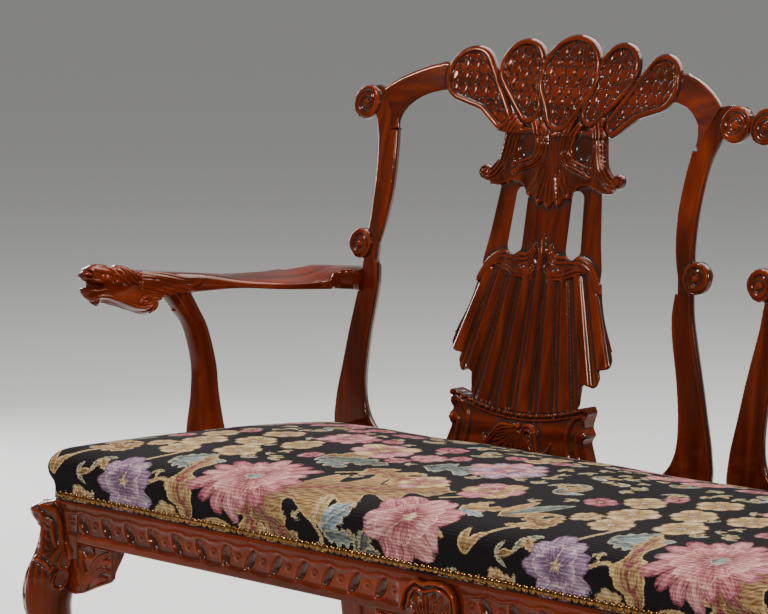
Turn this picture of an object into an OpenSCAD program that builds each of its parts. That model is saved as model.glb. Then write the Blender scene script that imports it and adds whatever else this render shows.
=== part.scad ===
// Chair-back settee: two carved chair backs side by side over one long stuffed seat.
// Millimetres, +Z up, the front looks along -Y, and +X is to the right of someone facing it.
// The origin is the middle of the footprint, on the floor.

/* [Seat] */
// Distance between the centre lines of the two chair backs
back_pitch = 664.5; // [620:0.5:720]
// Depth from the face of the front rail to the face of the stiles
seat_d = 494.6; // [460:0.2:540]
// Height of the rails' lower edges above the floor
leg_h = 376; // [340:1:410]
// Height of the seat rails
rail_h = 70; // [62:1:84]
// Thickness of the front and side rails
rail_t = 30; // [26:1:36]
// Depth of the rear rail from front to back
rear_rail_d = 42; // [36:1:48]
// Height of the seat's crown above the rails
crown_h = 52; // [40:1:65]
// Thickness of the tapestry and its lining
cover_t = 2.5; // [1.5:0.1:4]
// Height of the nailed band of tapestry on the rails
band_h = 19; // [16:1:24]
// Diameter of a brass nail's head
nail_d = 10; // [8:0.5:14]

/* [Legs] */
// Width of the square block at the top of a front leg
post_w = 55; // [50:1:62]
// Forward swell of the knee from the middle of its block
knee_out = 72; // [60:1:80]
// Diameter of the ball under a front foot
ball_d = 58; // [50:1:64]
// Width of a rear leg at the rails
rear_leg_w = 46; // [40:1:52]
// Thickness of a rear leg at the rails
rear_leg_t = 37; // [34:1:42]
// Backward sweep of the rear feet
rear_sweep = 62; // [40:1:80]
// Length of a knee bracket along its rail
bracket_l = 62; // [50:1:80]
// Thickness of a knee bracket
bracket_t = 24; // [20:1:28]

/* [Backs] */
// Height of the backs above the seat rails
back_h = 537; // [500:1:580]
// Thickness of the stiles
stile_t = 20; // [18:1:28]
// Radius of the volutes at the top corners
volute_r = 22.5; // [18:0.5:26]
// Radius of the volutes half-way up the stiles
knuckle_r = 20; // [16:0.5:23]
// Depth of the carved spiral in a volute
spiral_depth = 2; // [1:0.5:4]
// Backward lean of the crest rails, in degrees
crest_rake = 20; // [14:0.5:22]
// Radius of the hollow of a crest rail in plan
crest_r = 1000; // [900:10:1400]
// Thickness of a crest rail's arms
crest_t = 13; // [11:1:24]
// How far the lobed shell stands proud of the crest's arms
shell_proud = 5; // [3:0.5:8]
// Width of the raised rim round each lobe
lobe_rim = 6; // [4:0.5:9]
// Depth of the sunk field in each lobe
lobe_sunk = 3.5; // [1.5:0.5:5]
// Backward lean of the splats, in degrees
splat_rake = 10.4; // [8:0.1:12]
// Thickness of a splat's board
splat_t = 10; // [9:0.5:16]
// How far the fluted shell stands proud of the splat's board
flutes_proud = 8; // [6:0.5:10]
// Number of flutes in the shell of a splat
flutes = 9; // [8:1:14]

/* [Arms] */
// Height of an arm's middle above the rails, at the stile
arm_h = 209; // [190:1:230]
// Length of an arm from the stile's face to the lips of its dragon head
arm_l = 392; // [360:1:420]
// How far the dragon head stands outside the seat frame
arm_flare = 54; // [40:1:70]
// Width of an arm's flat elbow rest
elbow_w = 62; // [50:1:70]
// Thickness of an arm support from side to side
support_t = 33; // [28:1:38]

/* [Joints] */
// Thickness of the tenons on rails and stiles
tenon_t = 10; // [8:1:12]
// Length of the tenons
tenon_l = 30; // [20:1:34]
// Diameter of the wooden pegs and dowels
peg_d = 8; // [6:0.5:10]
// Diameter of a screw's shank
screw_d = 4.5; // [3.5:0.5:6]
// Room left round a tenon or peg in its hole
fit = 0.1; // [0.05:0.05:0.2]
// Room left round the soft parts
soft_gap = 0.3; // [0.2:0.1:0.6]

/* [Hidden] */

$fn = 48;
eps = 1;

mahogany = "#5a1c0c";
dark_mahogany = "#451408";
beech = "#b98a58";
cloth = "#3a2d30";
brass = "#b08a3a";
steel = "#8a8a88";
jute = "#a98f62";
black_cotton = "#1d1c1e";

half_pitch = back_pitch / 2;
rail_top = leg_h + rail_h;
// Outer face of the stiles at the seat, from the centre line of their back
stile_out_share = 0.963;
stile_out = half_pitch * stile_out_share;
// Half of the seat frame's length
frame_x = half_pitch + stile_out;
front_y = -seat_d;
post_in_x = frame_x - post_w;
post_back_y = front_y + post_w;
rear_in_x = frame_x - rear_leg_w;
rear_rail_y = -rear_rail_d * 0.38;
band_z = rail_top - band_h;
rebate = cover_t + soft_gap;
crest_z = rail_top + back_h * 0.767;
crest_y = back_h * 0.158;
splat_z = rail_top + back_h * 0.184;
splat_y = back_h * 0.054;
// The origin lies midway between the knees' fronts and the backs of the crest rails
crest_back_y = crest_y + back_h * 0.233 * tan(crest_rake) + crest_t + shell_proud;
setback = (seat_d + knee_out - post_w / 2 - crest_back_y) / 2;

// A smooth curve through the points p, n steps to each span; works in two or three axes
function curve_at(p, i, t) =
    let (a = p[max(i - 1, 0)], b = p[i], c = p[i + 1], d = p[min(i + 2, len(p) - 1)])
    0.5 * (2 * b + (c - a) * t + (2 * a - 5 * b + 4 * c - d) * t * t
        + (3 * b - a - 3 * c + d) * t * t * t);
function curve(p, n) =
    [for (i = [0:len(p) - 2]) for (k = [0:n - 1]) curve_at(p, i, k / n), p[len(p) - 1]];
function reversed(p) = [for (i = [len(p) - 1:-1:0]) p[i]];
// Shares of the half pitch and of the back's height become sizes in the front view
function on_back(p) = [for (q = p) [q[0] * half_pitch, rail_top + q[1] * back_h]];
function pow_sign(v, e) = sign(v) * pow(abs(v), e);
function fillet_arc(c, r, a0, a1, n) =
    [for (k = [0:n]) c + r * [cos(a0 + (a1 - a0) * k / n), sin(a0 + (a1 - a0) * k / n)]];
// Outline round two circles of different radius, a tapered capsule
function capsule(a, ra, b, rb, n = 14) =
    let (d = norm(b - a), turn = atan2(b[1] - a[1], b[0] - a[0]), lean = acos((ra - rb) / d))
    concat(fillet_arc(b, rb, turn - lean, turn + lean, n),
        fillet_arc(a, ra, turn + lean, turn + 360 - lean, n));

// A prism along Y from a front outline in X and Z
module front_prism(outline, y0, y1)
    translate([0, y1, 0]) rotate([90, 0, 0]) linear_extrude(y1 - y0) polygon(outline);
// A prism along X from a side outline in Y and Z
module side_prism(outline, x0, x1)
    translate([x0, 0, 0]) rotate([90, 0, 90]) linear_extrude(x1 - x0) polygon(outline);
// A block between two corners
module block(a, b) translate(a) cube(b - a);
module both_sides() {
    children();
    mirror([1, 0, 0]) children();
}
// The whole model is drawn from the stiles' face and set back to the origin
module placed() translate([0, setback, 0]) children();

// A closed skin over a stack of rings that have the same number of points
module skin(rings) {
    n = len(rings[0]);
    m = len(rings);
    polyhedron(points = [for (r = rings) each r], faces = concat(
        [[for (i = [0:n - 1]) i]],
        [for (k = [0:m - 2]) for (i = [0:n - 1]) each let (
            a = k * n + i, b = k * n + (i + 1) % n, c = a + n, d = b + n)
            [[a, c, b], [b, c, d]]],
        [[for (i = [n - 1:-1:0]) (m - 1) * n + i]]));
}
// One ring of a limb: a rounded square of half sizes w and h across the axes u and v
function limb_ring(c, u, v, w, h, n, e) =
    [for (i = [0:n - 1]) let (a = 360 * i / n)
        c + u * w * pow_sign(cos(a), e) + v * h * pow_sign(sin(a), e)];

// Seat rails

module tenon_x(x0, x1, y, z0, z1, slack = 0)
    block([x0, y - tenon_t / 2 - slack, z0 - slack], [x1, y + tenon_t / 2 + slack, z1 + slack]);
module tenon_y(y0, y1, x, z0, z1, slack = 0)
    block([x - tenon_t / 2 - slack, y0, z0 - slack], [x + tenon_t / 2 + slack, y1, z1 + slack]);

tenon_low = leg_h + rail_h * 0.15;
tenon_high = leg_h + rail_h * 0.66;
front_tenon_y = front_y + rail_t / 2;
side_tenon_x = frame_x - rail_t / 2;
rear_tenon_y = rear_leg_t * 0.36;
medial_w = rail_t;
medial_high = rail_top - rail_h * 0.1;
medial_low = leg_h + rail_h * 0.2;
post_cheek_y = front_y + rail_t;

module front_tenons(slack = 0)
    both_sides() tenon_x(post_in_x - eps, post_in_x + tenon_l + slack, front_tenon_y,
        tenon_low, tenon_high, slack);
module side_tenon_right(slack = 0)
    tenon_y(post_back_y - tenon_l - slack, tenon_l + slack, side_tenon_x, tenon_low, tenon_high,
        slack);
module rear_tenons(slack = 0)
    both_sides() tenon_x(rear_in_x - eps, rear_in_x + tenon_l * 0.8 + slack, rear_tenon_y,
        tenon_low, tenon_high, slack);
module medial_tenons(slack = 0)
    tenon_y(post_cheek_y + tenon_t / 2 - slack, rear_rail_y + tenon_l / 2 + slack, 0,
        medial_low + tenon_t / 2, medial_high - tenon_t / 2, slack);

// The sunk ornament of a rail: slanting oval hollows between a bead and a lip
hollow_pitch = rail_h * 0.63;
hollow_l = rail_h * 0.42;
hollow_w = rail_h * 0.24;
hollow_deep = rail_t * 0.12;
hollow_slant = 28;
hollow_z = leg_h + rail_h * 0.4;
lip_h = rail_h * 0.1;
lip_deep = rail_t * 0.08;
// A lens-shaped spindle of revolution, lying along X
module spindle(l, w) {
    bow = (l * l / 4 + w * w / 4) / w;
    half_turn = asin(l / 2 / bow);
    rotate([0, 90, 0]) rotate_extrude($fn = 24)
        polygon(concat([[0, l / 2], [0, -l / 2]],
            [for (k = [1:7]) let (a = half_turn * (k / 4 - 1))
                [bow * cos(a) - bow + w / 2, bow * sin(a)]]));
}
// Places along a rail, evenly spaced between two ends
module along_rail(x0, x1) {
    n = floor((x1 - x0) / hollow_pitch);
    for (i = [0:n - 1]) translate([x0 + (x1 - x0) * (i + 0.5) / n, 0, 0]) children();
}
module rail_ornament(x0, x1) {
    along_rail(x0, x1) translate([0, 0, hollow_z]) rotate([0, 90 - hollow_slant, 0])
        translate([0, hollow_w / 2 - hollow_deep, 0]) mirror([0, 1, 0]) spindle(hollow_l, hollow_w);
}

module front_rail() {
    color(mahogany) difference() {
        union() {
            block([-post_in_x, front_y, leg_h], [post_in_x, front_y + rail_t, rail_top]);
            front_tenons();
        }
        block([-frame_x, front_y - eps, band_z], [frame_x, front_y + rebate, rail_top + eps]);
        for (s = [-1, 1]) translate([s * post_in_x / 2, front_y, 0])
            rail_ornament(-ornament_l / 2, ornament_l / 2);
        block([-frame_x, front_y - eps, leg_h + lip_h], [frame_x, front_y + lip_deep, band_z - lip_h]);
        front_pegs(fit);
        corner_screws(fit);
        cheek_pegs(fit);
    }
}
ornament_l = post_in_x - post_w;

module side_rail_right() {
    color(mahogany) difference() {
        union() {
            block([frame_x - rail_t, post_back_y, leg_h], [frame_x, 0, rail_top]);
            side_tenon_right();
        }
        block([frame_x - rebate, -seat_d, band_z], [frame_x + eps, 0, rail_top + eps]);
        translate([frame_x, 0, 0]) rotate([0, 0, 90])
            rail_ornament(post_back_y + bracket_l, support_y - foot_w / 2);
        front_pegs(fit);
        corner_screws(fit);
        arm_screw_set(fit);
    }
}
module side_rail_left() mirror([1, 0, 0]) side_rail_right();

module rear_rail() {
    color(mahogany) difference() {
        union() {
            block([-rear_in_x, rear_rail_y, leg_h], [rear_in_x, rear_rail_y + rear_rail_d, rail_top]);
            rear_tenons();
        }
        both_sides() {
            inner_stile_tenon(fit);
            shoe_dowels(fit);
        }
        middle_leg_tenon(fit);
        medial_tenons(fit);
        corner_screws(fit);
    }
}

module medial_rail() {
    color(beech) union() {
        block([-medial_w / 2, post_back_y, medial_low], [medial_w / 2, rear_rail_y, medial_high]);
        medial_tenons();
    }
}

// Triangular blocks glued and screwed into the corners of the frame
block_low = leg_h + rail_h * 0.3;
block_high = rail_top - rail_h * 0.15;
block_reach = post_w * 1.1;
rail_in_x = frame_x - rail_t;
module corner_block(p)
    translate([0, 0, block_low]) linear_extrude(block_high - block_low) polygon(p);
module corner_block_pair() {
    difference() {
        corner_block([[rail_in_x, post_back_y], [rail_in_x, post_back_y + block_reach],
            [post_in_x - block_reach, post_cheek_y], [post_in_x, post_cheek_y],
            [post_in_x, post_back_y]]);
        corner_screws(fit);
    }
    difference() {
        corner_block([[rail_in_x, 0], [rear_in_x, 0], [rear_in_x, rear_rail_y],
            [rear_in_x - block_reach, rear_rail_y], [rail_in_x, rear_rail_y - block_reach]]);
        corner_screws(fit);
    }
}
module corner_blocks() color(beech) both_sides() corner_block_pair();

// A countersunk wood screw pointing along +X from its head
module screw(l, slack = 0) rotate([0, 90, 0]) {
    cylinder(d = screw_d + 2 * slack, h = l + slack);
    translate([0, 0, -slack])
        cylinder(d1 = screw_d * 2 + 2 * slack, d2 = screw_d + 2 * slack, h = screw_d * 0.6);
}
screw_l = rail_t * 1.3;
module corner_screws(slack = 0) {
    z = (block_low + block_high) / 2;
    both_sides() {
        translate([rail_in_x - block_reach * 0.22, post_back_y + block_reach * 0.42, z])
            screw(screw_l * 0.8, slack);
        translate([post_in_x - block_reach * 0.42, post_cheek_y + block_reach * 0.22, z])
            rotate([0, 0, -90]) screw(screw_l * 0.8, slack);
        translate([rail_in_x - block_reach * 0.22, rear_rail_y - block_reach * 0.42, z])
            screw(screw_l * 0.8, slack);
        translate([rear_in_x - block_reach * 0.42, rear_rail_y - block_reach * 0.22, z])
            rotate([0, 0, 90]) screw(screw_l * 0.8, slack);
    }
}
module block_screws() color(steel) corner_screws();

// Pegs that pin the tenons, and dowels between the carved pieces

peg_z = (tenon_low + tenon_high) / 2;
module front_pegs(slack = 0) both_sides() {
    // through the cheeks of the leg block and the front rail's tenon
    translate([post_in_x + tenon_l / 2, post_back_y - tenon_l * 0.15 - peg_d * 2, peg_z])
        rotate([90, 0, 0]) cylinder(d = peg_d + 2 * slack, h = rail_t * 0.9);
}
module cheek_pegs(slack = 0)
    for (s = [-1, 1]) translate([s * post_w * 0.3, post_back_y - rail_t * 0.15, peg_z])
        rotate([90, 0, 0]) cylinder(d = peg_d + 2 * slack, h = rail_t);
module joint_pegs() color(mahogany) {
    front_pegs();
    cheek_pegs();
    both_sides() {
        shoe_dowels();
        crest_dowels();
        support_dowel();
        volute_dowel_half();
    }
}

// Front legs

// Leg shape: height, front and back of the shin measured out from the block, half width,
// all as shares of the leg's height, the knee's swell and the block
leg_shares = [
    [0.105, 0.38, -0.16, 0.40], [0.15, 0.32, -0.18, 0.33], [0.20, 0.25, -0.18, 0.29],
    [0.24, 0.21, -0.19, 0.28], [0.32, 0.25, -0.18, 0.29], [0.425, 0.375, -0.11, 0.33],
    [0.53, 0.555, 0.00, 0.39], [0.638, 0.76, 0.09, 0.45], [0.73, 0.93, 0.14, 0.49],
    [0.79, 1.00, 0.14, 0.51], [0.845, 0.985, 0.05, 0.52], [0.896, 0.91, -0.08, 0.51],
    [0.945, 0.79, -0.24, 0.49], [1.0, 0.70, -0.36, 0.46], [1.06, 0.69, -0.36, 0.42],
    [1.115, 0.80, -0.30, 0.34],
];
leg_sides = 16;
leg_square_share = 0.8;
// A cabriole shin and knee, its knee towards +X, standing round the Z axis
module cabriole(top_share) {
    rows = [for (r = curve([for (q = leg_shares) [q[0], q[1], q[2], q[3]]], 1))
        if (r[0] <= top_share) r];
    skin([for (r = rows) let (f = r[1] * knee_out, b = r[2] * knee_out)
        limb_ring([(f + b) / 2, 0, r[0] * leg_h], [1, 0, 0], [0, 1, 0], (f - b) / 2,
            r[3] * post_w, leg_sides, leg_square_share)]);
}
// A ball held by four talons
foot_x = knee_out * 0.2;
// Talons: distance outwards, rise and half width along each, as shares of the ball's radius
talon_shares = [[0.10, 1.04, 0.16], [0.50, 1.01, 0.21], [0.80, 0.80, 0.16], [0.98, 0.50, 0.22],
    [1.07, 0.16, 0.16], [1.05, -0.18, 0.20], [0.92, -0.50, 0.13], [0.76, -0.68, 0.05]];
talon_turns = [-58, 58, 0, 180];
talon_sides = 8;
module claw_foot() {
    r = ball_d / 2;
    translate([foot_x, 0, r - foot_flat]) {
        difference() {
            sphere(r = r);
            block([-r, -r, -r], [r, r, -r + foot_flat]);
        }
        for (a = talon_turns) rotate([0, 0, a])
            skin([for (q = talon_shares) let (reach = norm([q[0], q[1]]))
                limb_ring([q[0] * r, 0, q[1] * r], [0, 1, 0], [q[0] / reach, 0, q[1] / reach],
                    q[2] * r, q[2] * r, talon_sides, 1)]);
    }
}
foot_flat = ball_d * 0.02;

post_x = frame_x - post_w / 2;
post_y = front_y + post_w / 2;
leg_block_low = leg_h - rail_h * 0.3;
module corner_stock() {
    block([post_in_x, front_y, leg_block_low], [frame_x, post_back_y, rail_top]);
    translate([post_x, post_y, 0]) rotate([0, 0, -45]) cabriole(leg_top_share);
}
module corner_leg() {
    difference() {
        union() {
            corner_stock();
            translate([post_x, post_y, 0]) rotate([0, 0, -45]) claw_foot();
        }
        block([post_in_x - eps, front_y - eps, band_z],
            [frame_x + eps, front_y + rebate, rail_top + eps]);
        block([frame_x - rebate, front_y - eps, band_z],
            [frame_x + eps, post_back_y + eps, rail_top + eps]);
        front_tenons(fit);
        side_tenon_right(fit);
        front_pegs(fit);
    }
}
leg_top_share = 1.12;
module front_leg_right() color(mahogany) corner_leg();
module front_leg_left() color(mahogany) mirror([1, 0, 0]) corner_leg();
module middle_stock() {
    block([-post_w / 2, post_cheek_y, leg_block_low], [post_w / 2, post_back_y, medial_high]);
    translate([0, post_y, 0]) rotate([0, 0, -90]) cabriole(1);
}
module front_leg_middle() {
    color(mahogany) difference() {
        union() {
            middle_stock();
            translate([0, post_y, 0]) rotate([0, 0, -90]) claw_foot();
        }
        medial_tenons(fit);
        cheek_pegs(fit);
    }
}

// The carved tablet over the middle leg, applied to the rail's face
cartouche_w = post_w * 1.6;
cartouche_t = rail_t * 0.3;
tablet_shares = [[-0.62, 0], [-1, 0.3], [-0.86, 0.72], [-0.45, 0.93], [0, 1], [0.45, 0.93],
    [0.86, 0.72], [1, 0.3], [0.62, 0]];
module middle_cartouche() {
    w = cartouche_w / 2;
    low = leg_h;
    high = band_z - lip_h * 0.6;
    color(dark_mahogany) difference() {
        front_prism(curve([for (q = tablet_shares) [q[0] * w, low + q[1] * (high - low)]], 4),
            front_y - cartouche_t, front_y + lip_deep);
        // ribs that fan out from the knee
        for (a = [-48:24:48]) translate([0, front_y - cartouche_t - rib_r * 0.5, low - rail_h * 0.2])
            rotate([0, a, 0]) cylinder(r = rib_r, h = rail_h * 0.82);
        // the rail's lower lip stands behind it
        block([-cartouche_w, front_y, leg_h - eps], [cartouche_w, front_y + rail_t, leg_h + lip_h]);
    }
}
rib_r = cartouche_w * 0.06;

// Knee brackets

// Underside of a bracket: distance from the leg's block and drop, as shares of its length
bracket_shares = [[1, 0], [1, 0.55], [0.93, 0.62], [0.72, 0.66], [0.45, 0.74], [0.2, 0.87],
    [0.0, 0.98], [-0.25, 1.06], [-0.25, 0]];
scroll_r = bracket_l * 0.16;
module bracket(front)
    difference() {
        union() {
            front_prism([for (q = bracket_shares) [q[0] * bracket_l, leg_h - q[1] * bracket_l]],
                front, front + bracket_t);
            // the scroll beside the knee
            translate([bracket_l * 0.12, front, leg_h - bracket_l * 0.68]) rotate([90, 0, 0])
                cylinder(r = scroll_r, h = spiral_depth);
        }
        translate([bracket_l * 0.12, front - spiral_depth, leg_h - bracket_l * 0.68])
            spiral_cut(scroll_r, 1);
    }
module bracket_right_front()
    color(mahogany) difference() {
        translate([post_in_x, 0, 0]) mirror([1, 0, 0]) bracket(front_y);
        corner_stock();
    }
module bracket_right_side()
    color(mahogany) difference() {
        translate([frame_x, post_back_y, 0]) rotate([0, 0, 90]) bracket(0);
        corner_stock();
    }
module bracket_left_front() mirror([1, 0, 0]) bracket_right_front();
module bracket_left_side() mirror([1, 0, 0]) bracket_right_side();
module bracket_middle_right()
    color(mahogany) difference() {
        translate([post_w / 2, 0, 0]) bracket(front_y);
        middle_stock();
    }
module bracket_middle_left() mirror([1, 0, 0]) bracket_middle_right();

// Chair backs

// Side view of the stiles' front: height and setback, as shares of the back's height
side_shares = [[0, 0], [0.1, 0.003], [0.19, 0.0075], [0.287, 0.0121], [0.38, 0.0186],
    [0.473, 0.029], [0.585, 0.0484], [0.696, 0.0726], [0.79, 0.0959], [0.9, 0.126]];
// Side view of a rear leg's front: height as a share of leg_h, sweep as a share of rear_sweep
rear_shares = [[0, 1], [0.27, 0.5], [0.53, 0.2], [0.8, 0.03], [1, 0]];
rear_foot_t = rear_leg_t * 0.92;
stile_front = curve([for (q = side_shares) [q[1] * back_h, rail_top + q[0] * back_h]], 3);
stile_side = concat(stile_front, reversed([for (q = stile_front) q + [stile_t, 0]]));
leg_front = curve([for (q = rear_shares) [q[1] * rear_sweep, q[0] * leg_h]], 3);
leg_side = concat(leg_front, [[0, rail_top], [rear_leg_t, rail_top]],
    reversed([for (q = leg_front)
        q + [rear_foot_t + (rear_leg_t - rear_foot_t) * q[1] / leg_h, 0]]));
// Outline of a stile: height, outer edge and inner edge, as shares of back_h and the half pitch
lower_shares = [[0, 0.963, 0.71], [0.019, 0.963, 0.722], [0.045, 0.965, 0.762],
    [0.073, 0.96, 0.789], [0.11, 0.951, 0.802], [0.166, 0.93, 0.802], [0.25, 0.9, 0.786],
    [0.333, 0.867, 0.76], [0.389, 0.846, 0.751], [0.439, 0.836, 0.758]];
upper_shares = [[0.439, 0.836, 0.77], [0.473, 0.833, 0.765], [0.501, 0.828, 0.752],
    [0.547, 0.82, 0.737], [0.6145, 0.819, 0.728], [0.687, 0.828, 0.734],
    [0.734, 0.841, 0.743], [0.758, 0.855, 0.749]];
// The seam between a stile and its crest rail, from the notch on top down to the inner edge
seam_shares = [[0.852, 0.858], [0.825, 0.832], [0.795, 0.799], [0.7825, 0.758]];
eye_x = half_pitch - volute_r;
eye_z = rail_top + back_h * 0.821;
knuckle_x = half_pitch * 0.855;
knuckle_z = rail_top + back_h * 0.4785;
shoulder_shares = [[0.87, 0.782], [0.891, 0.801]];
crown_of_volute = [[eye_x, eye_z + volute_r], [eye_x - volute_r * 0.6, eye_z + volute_r * 1.03]];
stile_outline = concat(
    on_back(reversed(curve([for (q = lower_shares) [q[2], q[0]]], 3))),
    on_back(curve([for (q = lower_shares) [q[1], q[0]]], 3)),
    on_back(curve([for (q = upper_shares) [q[1], q[0]]], 3)),
    on_back(shoulder_shares), [[eye_x, eye_z]], crown_of_volute, on_back(seam_shares),
    on_back(reversed(curve([for (q = upper_shares) [q[2], q[0]]], 3))));
// Radius of a spiral after a share of its turns
function spiral_r(start, share) = start * pow(0.3, share);
// A spiral groove that winds in from the rim of a volute, cut from its front
module spiral_cut(r, turns) {
    n = 40;
    w = r * 0.1;
    start = r * 0.86;
    inner = [for (k = [0:n]) let (a = 360 * turns * k / n) spiral_r(start, k / n) * [cos(a), sin(a)]];
    outer = [for (k = [0:n]) let (a = 360 * turns * k / n)
        (spiral_r(start, k / n) + w * (1 - 0.5 * k / n)) * [cos(a), sin(a)]];
    front_prism(concat(inner, reversed(outer)), -eps, spiral_depth);
}
module volute(x, z, r, y, t, turns) {
    translate([x, y, z]) difference() {
        rotate([-90, 0, 0]) cylinder(r = r, h = t);
        rotate([0, 180, 0]) spiral_cut(r, turns);
    }
    translate([x, y + spiral_depth, z]) sphere(r = r * 0.22);
}
// Setback of the stiles' face at a height
function stile_y(z) = let (s = (z - rail_top) / back_h)
    back_h * lookup(s, side_shares);
volute_proud = stile_t * 0.08;
module stile() {
    difference() {
        intersection() {
            front_prism(stile_outline, -eps, back_h);
            side_prism(stile_side, 0, half_pitch + eps);
        }
        crest_dowels_local(fit);
        volute_dowel_local(fit);
    }
    volute(knuckle_x, knuckle_z, knuckle_r, stile_y(knuckle_z) - volute_proud, stile_t, 1.4);
    difference() {
        volute(eye_x, eye_z, volute_r, stile_y(eye_z) - volute_proud, stile_t, 1.6);
        volute_dowel_local(fit);
    }
}
// Dowels between the two backs where their volutes touch
volute_dowel_l = volute_r * 0.9;
module volute_dowel_local(slack = 0)
    translate([half_pitch - volute_dowel_l / 2, stile_y(eye_z) + stile_t / 2, eye_z])
        rotate([0, 90, 0]) cylinder(d = peg_d + 2 * slack, h = volute_dowel_l);
module volute_dowel_half()
    translate([0, stile_y(eye_z) + stile_t / 2, eye_z]) rotate([0, 90, 0])
        cylinder(d = peg_d, h = volute_dowel_l / 2);
// Dowels between the stiles and the crest rail of one back
crest_dowel_z = rail_top + back_h * 0.81;
module crest_dowels_local(slack = 0)
    translate([half_pitch * 0.76, stile_y(crest_dowel_z) + stile_t * 0.6, crest_dowel_z])
        rotate([0, 90, 0]) cylinder(d = peg_d * 0.75 + 2 * slack, h = half_pitch * 0.08);
module crest_dowels(slack = 0)
    translate([half_pitch, 0, 0]) both_sides() crest_dowels_local(slack);

module inner_stile_tenon(slack = 0)
    block([half_pitch - stile_out + rear_leg_w * 0.2 - slack, stile_t * 0.3 - slack,
        rail_top - tenon_l - slack],
        [half_pitch - stile_out + rear_leg_w + slack, stile_t * 0.3 + tenon_t + slack, rail_top + eps]);
module inner_stile_right()
    color(mahogany) union() {
        translate([half_pitch, 0, 0]) mirror([1, 0, 0]) stile();
        inner_stile_tenon();
    }
module inner_stile_left() mirror([1, 0, 0]) inner_stile_right();

rear_foot_w = rear_leg_w * 0.8;
module rear_leg_blank(x0, x1, f0, f1)
    intersection() {
        front_prism([[x0, leg_h], [x0, rail_top], [x1, rail_top], [x1, leg_h], [f1, 0], [f0, 0]],
            -rear_sweep, rear_sweep + rear_leg_t * 2);
        side_prism(leg_side, x0 - rear_leg_w, x1 + rear_leg_w);
    }
module rear_post_right() {
    color(mahogany) difference() {
        union() {
            translate([half_pitch, 0, 0]) stile();
            rear_leg_blank(rear_in_x, frame_x, frame_x - rear_foot_w, frame_x);
        }
        rear_tenons(fit);
        side_tenon_right(fit);
        arm_screw_set(fit);
    }
}
module rear_post_left() mirror([1, 0, 0]) rear_post_right();

module middle_leg_tenon(slack = 0)
    block([-tenon_l / 2 - slack, tenon_t * 0.8 - slack, leg_h - eps],
        [tenon_l / 2 + slack, tenon_t * 1.8 + slack, leg_h + tenon_l * 0.8 + slack]);
module rear_leg_middle() {
    color(mahogany) union() {
        difference() {
            rear_leg_blank(-rear_leg_w / 2, rear_leg_w / 2, -rear_foot_w / 2, rear_foot_w / 2);
            block([-rear_leg_w, -rear_rail_d, leg_h],
                [rear_leg_w, rear_rail_y + rear_rail_d, rail_top + eps]);
        }
        middle_leg_tenon();
    }
}

// Crest rails

slab_low = -back_h * 0.12;
slab_h = back_h * 0.45;
slab_sides = 96;
// A bent slab that leans back, hollow towards the front, between two depths
module crest_slab(a, b)
    translate([0, crest_y, crest_z]) rotate([-crest_rake, 0, 0]) difference() {
        translate([0, -crest_r, slab_low]) cylinder(r = crest_r + b, h = slab_h, $fn = slab_sides);
        translate([0, -crest_r, slab_low - eps])
            cylinder(r = crest_r + a, h = slab_h + 2 * eps, $fn = slab_sides);
        block([-half_pitch * 2, -crest_r * 3, -back_h], [half_pitch * 2, -crest_r * 0.2, back_h]);
    }
// Height at which the crest meets the splat
web_share = 0.766;
// Upper and lower edges of a crest's arm, from the seam inwards
arm_top_shares = [[0.852, 0.858], [0.834, 0.868], [0.789, 0.886], [0.737, 0.901], [0.683, 0.914],
    [0.638, 0.921], [0.59, 0.925], [0.4, 0.9], [0, 0.9]];
arm_low_shares = [[0.749, 0.758], [0.754, 0.775], [0.748, 0.797], [0.731, 0.816], [0.701, 0.832],
    [0.662, 0.845], [0.617, 0.853], [0.572, 0.857], [0.527, 0.852], [0.467, 0.836],
    [0.4, 0.812], [0.346, 0.79], [0.301, 0.771], [0.25, web_share], [0, web_share]];
crest_arm = concat(on_back(curve(arm_top_shares, 3)), on_back(reversed(curve(arm_low_shares, 3))),
    on_back(reversed(seam_shares)));
// Lobes grow with the back's width and height alike
lobe_unit = sqrt(half_pitch * back_h * 0.6187);
// The five lobes: centres and radii of circles from the small lower one to the large upper one
lobe_shares = [
    [[0, 0.818, 0.062], [0, 0.865, 0.104], [0, 0.907, 0.152]],
    [[0.168, 0.822, 0.054], [0.21, 0.862, 0.082], [0.26, 0.909, 0.128]],
    [[0.285, 0.799, 0.044], [0.368, 0.850, 0.060], [0.487, 0.899, 0.108]],
];
module outer_lobes(inset) {
    lobe(1, inset);
    lobe(2, inset);
}
module lobe(i, inset)
    for (k = [0, 1]) let (a = lobe_shares[i][k], b = lobe_shares[i][k + 1])
        polygon(capsule(on_back([a])[0], a[2] * lobe_unit - inset, on_back([b])[0],
            b[2] * lobe_unit - inset));
module shell_lobes(inset) {
    lobe(0, inset);
    for (s = [0, 1]) mirror([s, 0]) outer_lobes(inset);
}
module upright(y0, y1) translate([0, y1, 0]) rotate([90, 0, 0]) linear_extrude(y1 - y0) children();
module crest() {
    far = back_h;
    difference() {
        union() {
            intersection() {
                both_sides() front_prism(crest_arm, 0, far);
                crest_slab(0, crest_t);
            }
            // each lobe is thin at its edge and thickens behind
            intersection() {
                upright(0, far) shell_lobes(0);
                crest_slab(-shell_proud, crest_t * 0.6);
            }
            intersection() {
                upright(0, far) shell_lobes(crest_t * 0.6);
                crest_slab(0, crest_t);
            }
        }
        // the sunk fields of the lobes, each under the rim of its inner neighbour
        intersection() {
            upright(0, far) union() {
                lobe(0, lobe_rim);
                for (s = [0, 1]) mirror([s, 0]) for (i = [1, 2]) difference() {
                    lobe(i, lobe_rim);
                    lobe(i - 1, 0);
                }
            }
            crest_slab(-shell_proud * 3, lobe_sunk - shell_proud);
        }
        both_sides() crest_dowels_local(fit);
        splat_tongue(fit);
    }
}
module crest_right() color(mahogany) translate([half_pitch, 0, 0]) crest();
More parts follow.
